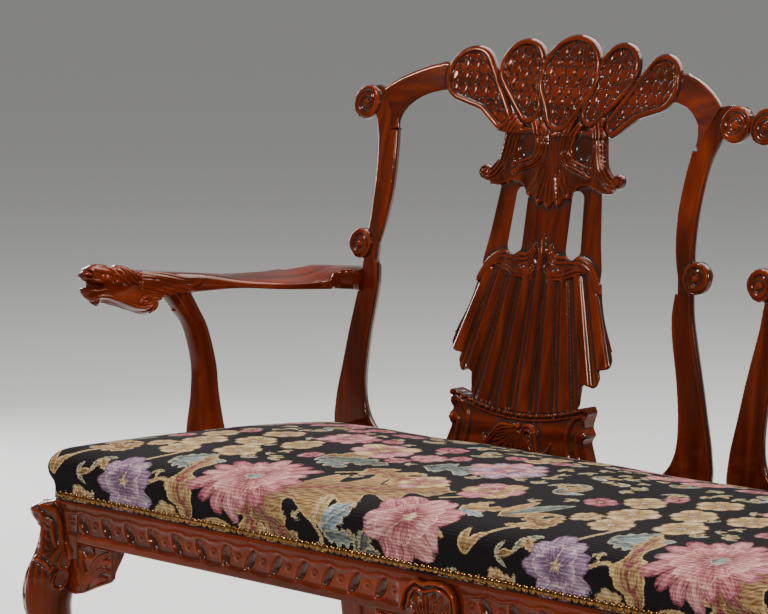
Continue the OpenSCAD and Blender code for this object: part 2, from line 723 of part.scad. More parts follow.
module crest_left() mirror([1, 0, 0]) crest_right();

// Splats

// Place of the splat's face at a height
function splat_face(z) = splat_y + (z - splat_z) * tan(splat_rake);
// A flat slab that leans back with the splat, between two depths and two heights
module splat_slab(a, b, z0, z1)
    side_prism([[splat_face(z0) + a, z0], [splat_face(z1) + a, z1], [splat_face(z1) + b, z1],
        [splat_face(z0) + b, z0]], -half_pitch, half_pitch);
// A whole outline from its right half, which runs from bottom to top or the other way
function both_halves(half) = concat([for (q = half) [-q[0], q[1]]], reversed(half));
board_shares = [[0.244, 0.09], [0.25, 0.13], [0.301, 0.184], [0.295, 0.29], [0.301, 0.398], [0.301, 0.462],
    [0.28, 0.525], [0.256, 0.631], [0.24, 0.67], [0.234, 0.72], [0.24, 0.78]];
board_top = rail_top + back_h * web_share;
board_low = rail_top + back_h * 0.1;
slot_low_shares = [0.149, 0.502];
slot_high_shares = [0.1415, 0.62];
slot_r = half_pitch * 0.0376;
slot_top_r = half_pitch * 0.03;
// The fan of flutes spreads from a point above the splat
fan_z = rail_top + back_h * 0.9;
fan_r = back_h * 0.736;
fan_half = 21.6;
corner_drop_share = 0.93;
shell_top_shares = [[0.31, 0.43], [0.25, 0.452], [0.17, 0.462], [0.09, 0.468], [0.045, 0.48],
    [0, 0.522]];
shell_side_shares = [[0.31, 0.43], [0.325, 0.387], [0.35, 0.343], [0.382, 0.304], [0.42, 0.262]];
function fan_point(a, r) = [r * sin(a), fan_z - r * cos(a)];
flute_turn = 2 * fan_half / flutes;
// Scalloped edge of the fan: one round end to each flute
function fan_edge(a) = let (k = abs(a) / fan_half)
    fan_r * (1 - (1 - corner_drop_share) * pow(k, 6));
shell_edge = [for (i = [0:flutes - 1]) for (k = [0:4]) let (
    a = -fan_half + flute_turn * (i + k / 4), bulge = sin(45 * k))
    fan_point(a, fan_edge(a) + bulge * fan_r * 0.012)];
shell_half = concat(on_back(curve(shell_side_shares, 3)));
shell_outline = concat(
    [for (q = reversed(shell_half)) [-q[0], q[1]]],
    [for (q = on_back(curve(shell_top_shares, 2))) [-q[0], q[1]]],
    on_back(reversed(curve(shell_top_shares, 2))),
    shell_half, reversed(shell_edge));
// Flutes are cones that spread from the fan's centre, their axes a little in front of its face
flute_r = fan_r * tan(flute_turn * 0.48);
flute_lift_share = 0.45;
mask_shares = [[0.25, 0.78], [0.262, 0.73], [0.27, 0.7], [0.3, 0.682], [0.335, 0.66],
    [0.315, 0.633], [0.27, 0.64], [0.2, 0.65], [0.13, 0.66], [0.09, 0.632], [0, 0.602]];
mask_proud = flutes_proud;
ear_x = half_pitch * 0.335;
ear_z = rail_top + back_h * 0.67;
ear_r = half_pitch * 0.026;
tongue_t = splat_t * 0.6;
tongue_l = splat_t;
tongue_w = half_pitch * 0.4;
// The tongue that rises from the splat into the crest rail
module splat_tongue(slack = 0)
    intersection() {
        block([-tongue_w / 2 - slack, -back_h, board_top - splat_t],
            [tongue_w / 2 + slack, back_h, board_top + tongue_l + slack]);
        splat_slab(splat_t * 0.2 - slack, splat_t * 0.2 + tongue_t + slack, board_low,
            board_top + tongue_l * 3);
    }
module splat() {
    board = both_halves(on_back(curve(board_shares, 3)));
    difference() {
        union() {
            difference() {
                intersection() {
                    front_prism(board, -back_h, back_h);
                    splat_slab(0, splat_t, board_low, board_top);
                }
                for (s = [-1, 1]) front_prism(capsule(
                    on_back([[s * slot_low_shares[0], slot_low_shares[1]]])[0], slot_r,
                    on_back([[s * slot_high_shares[0], slot_high_shares[1]]])[0], slot_top_r),
                    -back_h, back_h);
            }
            // the fluted shell
            difference() {
                intersection() {
                    front_prism(shell_outline, -back_h, back_h);
                    splat_slab(-flutes_proud, splat_t, rail_top, board_top);
                }
                for (i = [0:flutes - 1])
                    translate([0, splat_face(fan_z) - flutes_proud, fan_z])
                        rotate([-splat_rake, 0, 0])
                        rotate([0, 180 - fan_half + flute_turn * (i + 0.5), 0])
                        rotate([atan(flute_lift_share * flute_r / fan_r), 0, 0])
                        translate([0, 0, fan_r * 0.55])
                        cylinder(r1 = flute_r * 0.55, r2 = flute_r * 1.1, h = fan_r * 0.55);
            }
            // the acanthus mask under the crest
            intersection() {
                union() {
                    front_prism(both_halves(on_back(curve(mask_shares, 3))), -back_h, back_h);
                    both_sides() translate([ear_x, back_h, ear_z]) rotate([90, 0, 0])
                        cylinder(r = ear_r, h = 2 * back_h);
                }
                splat_slab(-mask_proud, splat_t * 0.7, board_low, board_top);
            }
            splat_tongue();
        }
        // the two hollows of the mask
        both_sides() translate([half_pitch * 0.13, splat_face(crest_z) - mask_proud * 1.4,
            rail_top + back_h * 0.735]) sphere(r = half_pitch * 0.045);
    }
    // the stub that stands in the shoe
    splat_stub();
}
stub_w = half_pitch * 0.5;
module splat_stub(slack = 0)
    intersection() {
        block([-stub_w / 2 - slack, -back_h, board_low - tenon_l * 0.5 - slack],
            [stub_w / 2 + slack, back_h, board_low + eps]);
        splat_slab(splat_t * 0.2 - slack, splat_t * 0.8 + slack, rail_top, board_top);
    }
module splat_right() color(mahogany) translate([half_pitch, 0, 0]) splat();
module splat_left() mirror([1, 0, 0]) splat_right();

// Shoes: the carved blocks that the splats stand in
shoe_shares = [[0.364, 0], [0.364, 0.022], [0.35, 0.045], [0.34, 0.067], [0.35, 0.085],
    [0.34, 0.1], [0.342, 0.118], [0.33, 0.145]];
shoe_sag = back_h * 0.034;
shoe_end_z = rail_top + back_h * 0.145;
shoe_w = half_pitch * 0.33;
bead_r = back_h * 0.0075;
shoe_bow = (shoe_w * shoe_w + shoe_sag * shoe_sag) / (2 * shoe_sag);
shoe_front_y = back_h * 0.013;
shoe_back_y = rear_leg_t * 0.68;
module shoe() {
    half = on_back(curve(shoe_shares, 3));
    sag = [for (k = [-7:7]) let (x = shoe_w * k / 7) [x, shoe_end_z - shoe_sag * (1 - k * k / 49)]];
    lean = tan(splat_rake) * (shoe_end_z - rail_top);
    bow_half = asin(shoe_w / shoe_bow);
    difference() {
        union() {
            intersection() {
                front_prism(concat([for (q = half) [-q[0], q[1]]], sag, reversed(half)), -back_h, back_h);
                side_prism([[shoe_front_y, rail_top], [shoe_front_y + lean * 0.6, shoe_end_z],
                    [shoe_back_y + lean * 0.6, shoe_end_z], [shoe_back_y, rail_top]],
                    -half_pitch, half_pitch);
            }
            // the beaded moulding that sags along the top
            translate([0, shoe_front_y + lean * 0.55, shoe_end_z + shoe_bow - shoe_sag])
                rotate([90, 0, 0]) rotate([0, 0, 270 - bow_half])
                rotate_extrude(angle = 2 * bow_half, $fn = slab_sides)
                translate([shoe_bow + bead_r, 0]) circle(r = bead_r);
            both_sides() {
                shoe_scroll(0.33, 0.118, 0.022);
                shoe_scroll(0.338, 0.082, 0.026);
            }
        }
        splat_clear();
        shoe_dowels_local(fit);
    }
}
module shoe_scroll(x, z, r)
    translate([x * half_pitch, shoe_front_y - bead_r * 0.3, rail_top + z * back_h])
        rotate([-90, 0, 0]) cylinder(r = r * half_pitch, h = stile_t * 0.7);
module splat_clear() {
    splat_stub(fit);
    // the foot of the splat's board
    splat_slab(0, splat_t, board_low, rail_top + back_h * 0.3);
}
module shoe_dowels_local(slack = 0)
    for (s = [-1, 1]) translate([s * half_pitch * 0.2, stile_t * 0.5, rail_top - peg_d * 1.5])
        cylinder(d = peg_d * 0.75 + 2 * slack, h = peg_d * 3);
module shoe_dowels(slack = 0) translate([half_pitch, 0, 0]) shoe_dowels_local(slack);
module shoe_right() color(mahogany) translate([half_pitch, 0, 0]) shoe();
module shoe_left() mirror([1, 0, 0]) shoe_right();

// Arms

support_y = -arm_l * 0.53;
foot_w = seat_d * 0.148;
// Arm path: outboard of the frame as a share of arm_flare, forward as a share of arm_l, rise as
// a share of arm_h, then half width as a share of elbow_w and half thickness as a share of it
arm_shares = [
    [-0.80, -0.055, 0.000, 0.30, 0.27], [-0.50, -0.052, 0.003, 0.31, 0.26],
    [-0.10, -0.022, 0.018, 0.40, 0.20], [0.18, 0.03, 0.030, 0.58, 0.145],
    [0.30, 0.12, 0.038, 0.52, 0.13], [0.36, 0.25, 0.043, 0.42, 0.145],
    [0.46, 0.38, 0.040, 0.33, 0.17], [0.60, 0.51, 0.043, 0.28, 0.21],
    [0.74, 0.63, 0.050, 0.275, 0.24], [0.88, 0.74, 0.062, 0.28, 0.27],
];
// Dragon head: forward, rise of the middle, half width and half height, in the same shares
head_shares = [
    [0.88, 0.74, 0.062, 0.28, 0.27], [0.92, 0.79, 0.070, 0.30, 0.33],
    [0.95, 0.84, 0.095, 0.29, 0.31], [0.97, 0.885, 0.125, 0.25, 0.25],
    [0.98, 0.925, 0.150, 0.21, 0.21], [0.99, 0.96, 0.150, 0.19, 0.17],
    [1.00, 0.985, 0.135, 0.16, 0.12], [1.00, 1.0, 0.125, 0.09, 0.06],
];
jaw_shares = [
    [0.90, 0.73, -0.06, 0.22, 0.14], [0.93, 0.79, -0.045, 0.23, 0.16],
    [0.96, 0.85, -0.005, 0.20, 0.12], [0.98, 0.91, 0.022, 0.17, 0.11],
    [0.99, 0.96, 0.022, 0.15, 0.12], [1.0, 0.99, 0.018, 0.09, 0.08],
];
arm_z = rail_top + arm_h;
function limb_at(q) = [frame_x + q[0] * arm_flare, -q[1] * arm_l, arm_z + q[2] * arm_h];
// Rings square to a path that bends in plan
function limb_rings(table, n, steps, e) =
    let (p = curve(table, steps), last = len(p) - 1)
    [for (i = [0:last]) let (
        run = limb_at(p[min(i + 1, last)]) - limb_at(p[max(i - 1, 0)]),
        across = [-run[1], run[0], 0] / norm([run[0], run[1]]))
        limb_ring(limb_at(p[i]), across, [0, 0, 1], p[i][3] * elbow_w, p[i][4] * elbow_w, n, e)];
module arm_body() {
    skin(limb_rings(arm_shares, 14, 2, 0.75));
}
cheek_r = elbow_w * 0.15;
cheek_share = [0.9, 0.735, -0.055];
eye_share = [0.98, 0.925, 0.165];
module dragon_head() {
    skin(limb_rings(head_shares, 14, 2, 0.85));
    skin(limb_rings(jaw_shares, 12, 2, 0.85));
    // cheek scrolls and eyes
    translate(limb_at(cheek_share)) rotate([0, 90, 0])
        cylinder(r = cheek_r, h = elbow_w * 0.56, center = true);
    for (s = [-1, 1]) translate(limb_at(eye_share) + [s * elbow_w * 0.17, 0, 0])
        sphere(r = elbow_w * 0.055);
}
module arm_right() {
    color(mahogany) difference() {
        union() {
            arm_body();
            dragon_head();
        }
        translate([half_pitch, 0, 0]) stile();
        arm_screw_set(fit);
        support_dowel(fit);
    }
}
module arm_left() mirror([1, 0, 0]) arm_right();

// Arm support: forward from support_y, outboard of the frame, rise above the rails as a share
// of arm_h, then half sizes across and along the seat
support_shares = [
    [0.002, 0.35, -0.30, 0.52, 0.98], [0.002, 0.35, -0.15, 0.52, 0.95],
    [0.001, 0.40, 0.0, 0.48, 0.88], [0.000, 0.48, 0.16, 0.44, 0.72],
    [-0.006, 0.54, 0.35, 0.40, 0.52], [-0.008, 0.60, 0.54, 0.38, 0.45],
    [0.018, 0.67, 0.76, 0.38, 0.44], [0.055, 0.72, 0.88, 0.40, 0.50],
    [0.10, 0.75, 1.0, 0.42, 0.58], [0.11, 0.75, 1.02, 0.42, 0.59],
];
cover_room = soft_gap + cover_t * 4;
module support_body()
    skin([for (q = curve(support_shares, 2))
        limb_ring([frame_x + q[1] * arm_flare, support_y - q[0] * arm_l, rail_top + q[2] * arm_h],
            [1, 0, 0], [0, 1, 0], q[3] * support_t, q[4] * foot_w / 2, 14, 0.7)]);
module arm_support_right() {
    color(mahogany) difference() {
        support_body();
        arm_body();
        block([0, -seat_d, 0], [frame_x, 0, rail_top * 2]);
        block([0, -seat_d, band_z - soft_gap], [frame_x + cover_room, 0, rail_top * 2]);
        arm_screw_set(fit);
        support_dowel(fit);
    }
}
module arm_support_left() mirror([1, 0, 0]) arm_support_right();
module support_dowel(slack = 0)
    translate([frame_x + 0.75 * arm_flare, support_y - 0.1 * arm_l, arm_z - arm_h * 0.12])
        cylinder(d = peg_d + 2 * slack, h = arm_h * 0.18);
// Screws through the side rail into the support's foot and through the stile into the arm
module arm_screw_set(slack = 0) {
    for (s = [-1, 1])
        translate([frame_x - rail_t + screw_d, support_y + s * foot_w * 0.25,
            (leg_h + band_z) / 2 + s * screw_d]) screw(rail_t * 1.5, slack);
    translate([frame_x - half_pitch * 0.195, stile_y(arm_z) + stile_t * 0.55, arm_z])
        screw(half_pitch * 0.13, slack);
}
module arm_screws() color(steel) both_sides() arm_screw_set();

// Seat

web_w = seat_d * 0.1;
web_t = cover_t * 0.8;
web_long = 5;
web_cross = 11;
module webbing() {
    color(jute) {
        y0 = post_cheek_y - rail_t * 0.4;
        y1 = rear_rail_y + rear_rail_d * 0.2;
        for (i = [0:web_long - 1]) {
            y = post_back_y + (rear_rail_y - post_back_y) * (i + 0.5) / web_long;
            block([-rail_in_x - rail_t / 2, y - web_w / 2, rail_top],
                [rail_in_x + rail_t / 2, y + web_w / 2, rail_top + web_t]);
        }
        // the cross webs lie on the long ones and turn down to the rails at their ends
        ramp = web_w * 0.15;
        for (i = [0:web_cross - 1]) {
            x = -post_in_x + 2 * post_in_x * (i + 0.5) / web_cross;
            high = rail_top + web_t;
            side_prism([[y0, rail_top], [y0 + ramp, rail_top], [y0 + 2 * ramp, high],
                [y1 - 2 * ramp, high], [y1 - ramp, rail_top], [y1, rail_top], [y1, high],
                [y1 - ramp * 0.8, high], [y1 - 1.8 * ramp, high + web_t],
                [y0 + 1.8 * ramp, high + web_t], [y0 + ramp * 0.8, high], [y0, high]],
                x - web_w / 2, x + web_w / 2);
        }
    }
}
hessian_z = rail_top + 2 * web_t;
hessian_t = cover_t * 0.4;
module hessian()
    color(jute) block([-rail_in_x - rail_t * 0.4, post_cheek_y - rail_t * 0.3, hessian_z],
        [rail_in_x + rail_t * 0.4, rear_rail_y + rear_rail_d * 0.15, hessian_z + hessian_t]);

// The stuffed seat is a stack of rings that shrink towards a ridge along its middle.
// Rows: shrink, rise at the front and ends, rise at the back, and how far the surface
// normal has turned up. Rises are shares of the crown, negative ones shares of the band
seat_shares = [
    [0.000, -1.00, 0.010, 0.0], [0.000, -0.10, 0.025, 0.0], [-0.026, 0.20, 0.05, 0.0],
    [-0.032, 0.36, 0.09, 0.2], [-0.014, 0.55, 0.15, 0.6], [0.030, 0.71, 0.22, 0.85],
    [0.110, 0.82, 0.34, 1.0], [0.250, 0.90, 0.50, 1.0], [0.480, 0.955, 0.72, 1.0],
    [0.740, 0.99, 0.92, 1.0], [0.930, 1.00, 1.00, 1.0],
];
seat_mid_y = -seat_d / 2;
seat_half_d = seat_d / 2 - soft_gap;
seat_half_x = frame_x - soft_gap;
ridge_x = seat_half_x - seat_half_d;
front_corner_r = cover_t * 8;
back_corner_r = cover_t * 2;
function seat_arc(sx, sy, r, a0) =
    fillet_arc([sx * (seat_half_x - r), seat_mid_y + sy * (seat_half_d - r)], r, a0, a0 + 90, 3);
function run(a, b, n) = [for (k = [1:n - 1]) a + (b - a) * k / n];
seat_corners = [seat_arc(1, -1, front_corner_r, -90), seat_arc(1, 1, back_corner_r, 0),
    seat_arc(-1, 1, back_corner_r, 90), seat_arc(-1, -1, front_corner_r, 180)];
seat_plan = [for (i = [0:3]) each concat(seat_corners[i],
    run(seat_corners[i][3], seat_corners[(i + 1) % 4][0], i % 2 == 0 ? 6 : 14))];
function seat_ring(row, inward, floor_z) = [for (p = seat_plan) let (
    hub = [max(-ridge_x, min(ridge_x, p[0])), seat_mid_y],
    way = (hub - p) / norm(hub - p),
    back = pow(max(0, (p[1] - front_y) / (seat_d - soft_gap)), 3),
    edge_back = p[1] > -back_corner_r * 0.3 ? 1 : 0,
    front_rise = row[1] < 0 ? row[1] * band_h : row[1] * crown_h,
    share = row[1] < 0 ? edge_back : back,
    z = rail_top + soft_gap + front_rise * (1 - share) + row[2] * crown_h * share,
    shift = row[0] * seat_half_d * (row[0] < 0 ? 1 - back : 1) + inward * (1 - row[3] * 0.999))
    [p[0] + way[0] * shift, p[1] + way[1] * shift, max(floor_z, z - inward * row[3])]];
module seat_cover() {
    top = [for (row = seat_shares) seat_ring(row, 0, 0)];
    under = [for (row = seat_shares) seat_ring(row, cover_t, 0)];
    color(cloth) skin(concat(reversed(under), top));
}
stuffing_z = hessian_z + hessian_t + soft_gap;
module seat_stuffing() {
    inset = cover_t + soft_gap;
    foot = [for (p = seat_ring(seat_shares[1], inset, 0)) [p[0], p[1], stuffing_z]];
    rings = [for (row = seat_shares) if (row[1] > 0.3) seat_ring(row, inset, stuffing_z + soft_gap)];
    color(jute) skin(concat([foot], rings));
}

// Brass nails: domed heads side by side along the lower edge of the tapestry
nail_z = band_z + nail_d * 0.55;
nail_dome_r = nail_d * 0.62;
nail_proud = nail_d * 0.28;
module nail_head()
    intersection() {
        translate([0, nail_dome_r - nail_proud, 0]) sphere(r = nail_dome_r);
        rotate([90, 0, 0]) cylinder(d = nail_d * 0.98, h = nail_d);
    }
module nail_row(l) {
    n = floor(l / nail_d);
    for (i = [0:n - 1]) translate([-l / 2 + l * (i + 0.5) / n, 0, 0]) nail_head();
}
module brass_nails() {
    front_l = 2 * (seat_half_x - front_corner_r);
    side_y0 = front_y + front_corner_r;
    side_gap = foot_w * 0.62;
    color(brass) {
        translate([0, front_y + soft_gap, nail_z]) nail_row(front_l);
        both_sides() {
            translate([seat_half_x, (side_y0 + support_y - side_gap) / 2, nail_z]) rotate([0, 0, 90])
                nail_row(support_y - side_gap - side_y0);
            translate([seat_half_x, (support_y + side_gap) / 2, nail_z]) rotate([0, 0, 90])
                nail_row(-support_y - side_gap);
        }
    }
}

module dust_cover() {
    x = rail_in_x + rail_t * 0.2;
    color(black_cotton) difference() {
        block([-x, post_cheek_y - rail_t * 0.19, leg_h - hessian_t],
            [x, rear_rail_y + rear_rail_d * 0.2, leg_h]);
        both_sides() block([post_in_x - soft_gap, front_y, 0], [frame_x, post_back_y + soft_gap, leg_h]);
        block([-post_w / 2 - soft_gap, front_y, 0], [post_w / 2 + soft_gap, post_back_y + soft_gap, leg_h]);
    }
}

placed() front_rail();
placed() rear_rail();
placed() side_rail_left();
placed() side_rail_right();
placed() medial_rail();
placed() corner_blocks();
placed() block_screws();
placed() joint_pegs();
placed() front_leg_left();
placed() front_leg_middle();
placed() front_leg_right();
placed() middle_cartouche();
placed() bracket_left_front();
placed() bracket_left_side();
placed() bracket_middle_left();
placed() bracket_middle_right();
placed() bracket_right_front();
placed() bracket_right_side();
placed() rear_post_left();
placed() rear_post_right();
placed() rear_leg_middle();
placed() inner_stile_left();
placed() inner_stile_right();
placed() crest_left();
placed() crest_right();
placed() splat_left();
placed() splat_right();
placed() shoe_left();
placed() shoe_right();
placed() arm_left();
placed() arm_right();
placed() arm_support_left();
placed() arm_support_right();
placed() arm_screws();
placed() webbing();
placed() hessian();
placed() seat_stuffing();
placed() seat_cover();
placed() brass_nails();
placed() dust_cover();
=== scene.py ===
# %% [markdown]
# # A carved mahogany chair-back settee
# The wooden parts of this settee were sawn from boards and then carved, so most of them are made here
# as reliefs: an outline filled with a fine net of points, each raised or sunk by the carver's strokes.
# Legs, arms and supports are turned round a bent middle line instead. The tapestry is one sheet.
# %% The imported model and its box
import math
import bpy
import bmesh
import numpy as np
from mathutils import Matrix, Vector


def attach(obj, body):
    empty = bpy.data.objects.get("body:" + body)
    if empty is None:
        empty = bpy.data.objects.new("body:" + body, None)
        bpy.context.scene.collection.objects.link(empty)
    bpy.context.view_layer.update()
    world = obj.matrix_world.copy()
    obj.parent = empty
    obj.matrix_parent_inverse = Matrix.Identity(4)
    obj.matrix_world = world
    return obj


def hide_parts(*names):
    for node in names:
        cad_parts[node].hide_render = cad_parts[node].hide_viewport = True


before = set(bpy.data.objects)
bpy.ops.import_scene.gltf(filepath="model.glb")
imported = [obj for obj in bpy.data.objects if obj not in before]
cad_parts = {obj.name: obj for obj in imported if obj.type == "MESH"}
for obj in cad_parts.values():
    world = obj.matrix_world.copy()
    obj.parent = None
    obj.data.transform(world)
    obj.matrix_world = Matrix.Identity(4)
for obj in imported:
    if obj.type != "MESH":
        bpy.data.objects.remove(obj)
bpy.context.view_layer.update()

# %% [markdown]
# ## Sizes
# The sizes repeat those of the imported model, in millimetres. Forms are drawn with the face of the
# chair backs' stiles at y = 0 and are moved back by SETBACK when they are placed.
# %% Sizes of the settee
MM = 0.001
HALF_PITCH = 332.25
RAIL_TOP = 446.0
LEG_H = 376.0
BACK_H = 537.0
SETBACK = 195.35
FRAME_X = 652.25
FRONT_Y = -494.6
POST_W = 55.0
STILE_T = 20.0
CREST_T, CREST_R, CREST_RAKE = 13.0, 1000.0, math.radians(20)
CREST_Y, CREST_Z = 84.85, 857.9
SPLAT_T, SPLAT_RAKE = 10.0, math.radians(10.4)
SPLAT_Y, SPLAT_Z = 29.0, 544.8


def on_back(shares):
    """Points of a chair back from shares of its half width and its height, in mm."""
    return np.array(shares, float) * (HALF_PITCH, BACK_H) + (0, RAIL_TOP)


def folded(p):
    """The points with x measured outwards from the middle, so that one side serves both."""
    return np.stack([np.abs(p[:, 0]), p[:, 1]], 1)


# %% [markdown]
# ## Lines and distances
# A carver works along lines: the edge of an outline, the spine of a leaf, the run of a groove. Two
# small tools serve them all. One draws a smooth line through a few points, and the other says how
# far each point of a net lies from a line, on which side of it and how far along it.
# %% Smooth lines and distances to them
def spline(points, steps=6):
    """A smooth line through the points, which may be flat or in space."""
    q = np.array(points, float)
    ends = np.vstack([2 * q[0] - q[1], q, 2 * q[-1] - q[-2]])
    t = np.arange(steps)[:, None] / steps
    runs = []
    for a, b, c, d in zip(ends, ends[1:], ends[2:], ends[3:]):
        runs.append((2 * b + t * (c - a) + t**2 * (2 * a - 5 * b + 4 * c - d)
                     + t**3 * (3 * b - a - 3 * c + d)) / 2)
    return np.vstack(runs + [q[-1:]])


def along(p, line):
    """Distance of each point to a flat line, its share of the line's length, and its side (+1 left)."""
    start, step = line[:-1], np.diff(line, axis=0)
    length = np.maximum(np.hypot(*step.T), 1e-6)
    run = np.concatenate([[0], np.cumsum(length)])
    best, share, side = np.full(len(p), 1e9), np.zeros(len(p)), np.ones(len(p))
    for a, s, l, r in zip(start, step, length, run):
        q = p - a
        t = np.clip(q @ s / l**2, 0, 1)
        d = np.hypot(q[:, 0] - t * s[0], q[:, 1] - t * s[1])
        near = d < best
        best[near], share[near] = d[near], (r + t[near] * l) / run[-1]
        side[near] = np.where(s[0] * q[near, 1] - s[1] * q[near, 0] < 0, -1, 1)
    return best, share, side


def depth_in(p, outline):
    """How deep each point lies inside a closed outline, and below zero outside it."""
    ring = np.vstack([outline, outline[:1]])
    odd = np.zeros(len(p), bool)
    for a, b in zip(ring, ring[1:]):
        if a[1] != b[1]:
            reach = (b[0] - a[0]) * (p[:, 1] - a[1]) / (b[1] - a[1]) + a[0]
            odd ^= ((a[1] > p[:, 1]) != (b[1] > p[:, 1])) & (p[:, 0] < reach)
    return np.where(odd, 1, -1) * along(p, ring)[0]


def depth_in_box(p, low, high):
    """How deep each point lies inside an upright rectangle."""
    return np.minimum(p - low, high - p).min(1)


def depth_in_capsule(p, a, ra, b, rb):
    """How deep each point lies inside two circles and the tangents that join them."""
    axis = np.subtract(b, a)
    length = np.hypot(*axis)
    axis = axis / length
    q = p - a
    x, y = q @ axis, np.abs(q[:, 0] * axis[1] - q[:, 1] * axis[0])
    k = (ra - rb) / length
    c = math.sqrt(1 - k * k)
    run = x * c - y * k
    flat = x * k + y * c - ra
    ends = np.where(run < 0, np.hypot(x, y) - ra, np.hypot(x - length, y) - rb)
    return -np.where((run < 0) | (run > length * c), ends, flat)


# %% [markdown]
# ## Strokes of the gouge
# Nearly every ornament here is a raised or sunk stroke that swells and tapers along a line. A leaf is
# a spine with such strokes for its lobes. Heights are in mm towards the person who looks at it.
# %% Strokes, strands and leaves
def smooth(x):
    x = np.clip(x, 0, 1)
    return x * x * (3 - 2 * x)


def rolled(depth, radius):
    """How far an edge rounded to that radius falls away at each depth inside it."""
    d = radius - np.clip(depth, 0, radius)
    return radius - np.sqrt(np.maximum(radius**2 - d**2, 0))


def dome(r):
    """A round bead 1 high, at each share r of its half width."""
    return np.sqrt(np.maximum(1 - r**2, 0))


def hill(r, width):
    """A bell-shaped rise 1 high where r is 0."""
    return np.exp(-((r / width) ** 2))


def vein_shape(u):
    """A rounded lobe with a fine groove down its middle."""
    return dome(u) - 0.45 * hill(u, 0.22)


def crease_shape(u):
    return np.maximum(1 - u, 0) ** 0.8


def far(p, x, y, wide=1.0, high=1.0):
    """Distance of each point from a place, in shares of a half width and a half height."""
    return np.hypot((p[:, 0] - x) / wide, (p[:, 1] - y) / high)


def stroke(p, line, widths, rises, shape=dome, steps=6):
    """Height of one stroke at each point; its half widths and rises are given along its length."""
    line = spline(line, steps) if len(line) > 2 else np.array(line, float)
    reach = max(widths)
    near = np.all((p > line.min(0) - reach) & (p < line.max(0) + reach), axis=1)
    height = np.zeros(len(p))
    if near.any():
        d, share, _ = along(p[near], line)
        width = np.interp(share, np.linspace(0, 1, len(widths)), widths)
        rise = np.interp(share, np.linspace(0, 1, len(rises)), rises)
        height[near] = rise * shape(np.clip(d / np.maximum(width, 0.01), 0, 1)) * (d < width)
    return height


def laid(h, p, ways, shape=dome, steps=6, drawn=list):
    """Heights with strokes laid over them; each way is a line, its half widths and its rises."""
    for line, widths, rises in ways:
        h = np.maximum(h, stroke(p, drawn(line), widths, rises, shape, steps))
    return h


def beside(line, gap):
    """The line moved to its left by a gap, which may change along it."""
    step = np.gradient(line, axis=0)
    step /= np.maximum(np.hypot(*step.T), 1e-6)[:, None]
    return line + np.stack([-step[:, 1], step[:, 0]], 1) * np.reshape(gap, (-1, 1))


def strands(p, line, count, spread, rise, taper=(0.35, 1, 1, 0.3)):
    """Several strokes side by side, like combed hair, that fill a band of that half width."""
    middle, height = spline(line, 5), np.zeros(len(p))
    share = np.linspace(0, 1, len(middle))
    band = spread * np.interp(share, np.linspace(0, 1, len(taper)), taper)
    for k in range(count):
        place = (2 * k + 1) / count - 1
        one = beside(middle, band * place)
        height = np.maximum(height, stroke(p, one, [w * spread / count * 1.15 for w in taper],
                                           [rise * (1 - 0.25 * place**2)], steps=1))
    return height


def leaf(p, line, width, rise, lobes=4, sides=(-1, 1), lean=0.75):
    """An acanthus leaf: a spine, and veined lobes that leave it and curl towards its tip."""
    spine = spline(line, 8)
    step = np.gradient(spine, axis=0)
    step /= np.maximum(np.hypot(*step.T), 1e-6)[:, None]
    height = stroke(p, spine, [width * 0.16, width * 0.2, width * 0.12, 0.3], [rise * 1.1], steps=1)
    for side in sides:
        for k in range(lobes):
            share = (k + 0.15) / lobes
            i = int(share * (len(spine) - 1))
            t = step[i]
            n = np.array([-t[1], t[0]]) * side
            reach = width * math.sin(math.pi * (0.22 + 0.68 * share)) ** 0.8
            root, tip = spine[i], spine[i] + (n + t * lean) * reach
            middle = spine[i] + (n * 0.62 + t * 0.28 * lean) * reach
            half = np.hypot(*(spine[-1] - spine[0])) / lobes * 0.42
            one = stroke(p, [root, middle, tip], [half * 0.5, half, half * 0.95, half * 0.25],
                         [rise * 0.8, rise, rise * 0.75, rise * 0.2], vein_shape)
            height = np.maximum(height, one)
    return height


# %% [markdown]
# ## From net to board
# A relief starts as square cells that fill the outline, with the outer points drawn onto the edge. The
# net is used twice, for the carved face and for the back, and a wall joins the two. The difference
# between a height and its evened-out neighbourhood is kept on each point: old polish and dust gather
# in the hollows and hands rub the heights bright, and the finish darkens the hollows further as painted
# shade, so it needs to know which is which.
# %% Nets and reliefs
def net_of(inside, low, high, pitch):
    """Points and cells that fill an outline, and the number of each point on the square grid."""
    xs = np.arange(low[0] - 2 * pitch, high[0] + 2 * pitch, pitch)
    ys = np.arange(low[1] - 2 * pitch, high[1] + 2 * pitch, pitch)
    gx, gy = np.meshgrid(xs, ys)
    p = np.stack([gx.ravel(), gy.ravel()], 1)
    depth = inside(p)
    slope_y, slope_x = np.gradient(depth.reshape(gx.shape), pitch)
    slope = np.stack([slope_x.ravel(), slope_y.ravel()], 1)
    slope /= np.maximum(np.hypot(*slope.T), 0.3)[:, None]
    near = np.abs(depth) <= pitch / 2
    p[near] -= depth[near, None] * slope[near]
    keep = depth > -pitch / 2
    number = np.full(len(p), -1)
    number[keep] = np.arange(keep.sum())
    number = number.reshape(gx.shape)
    cells = np.stack([number[:-1, :-1], number[:-1, 1:], number[1:, 1:], number[1:, :-1]], -1)
    cells = cells.reshape(-1, 4)
    there = (cells >= 0).sum(1)
    faces = cells[there == 4].tolist()
    faces += [[i for i in cell if i >= 0] for cell in cells[there == 3].tolist()]
    return p[keep], faces, number


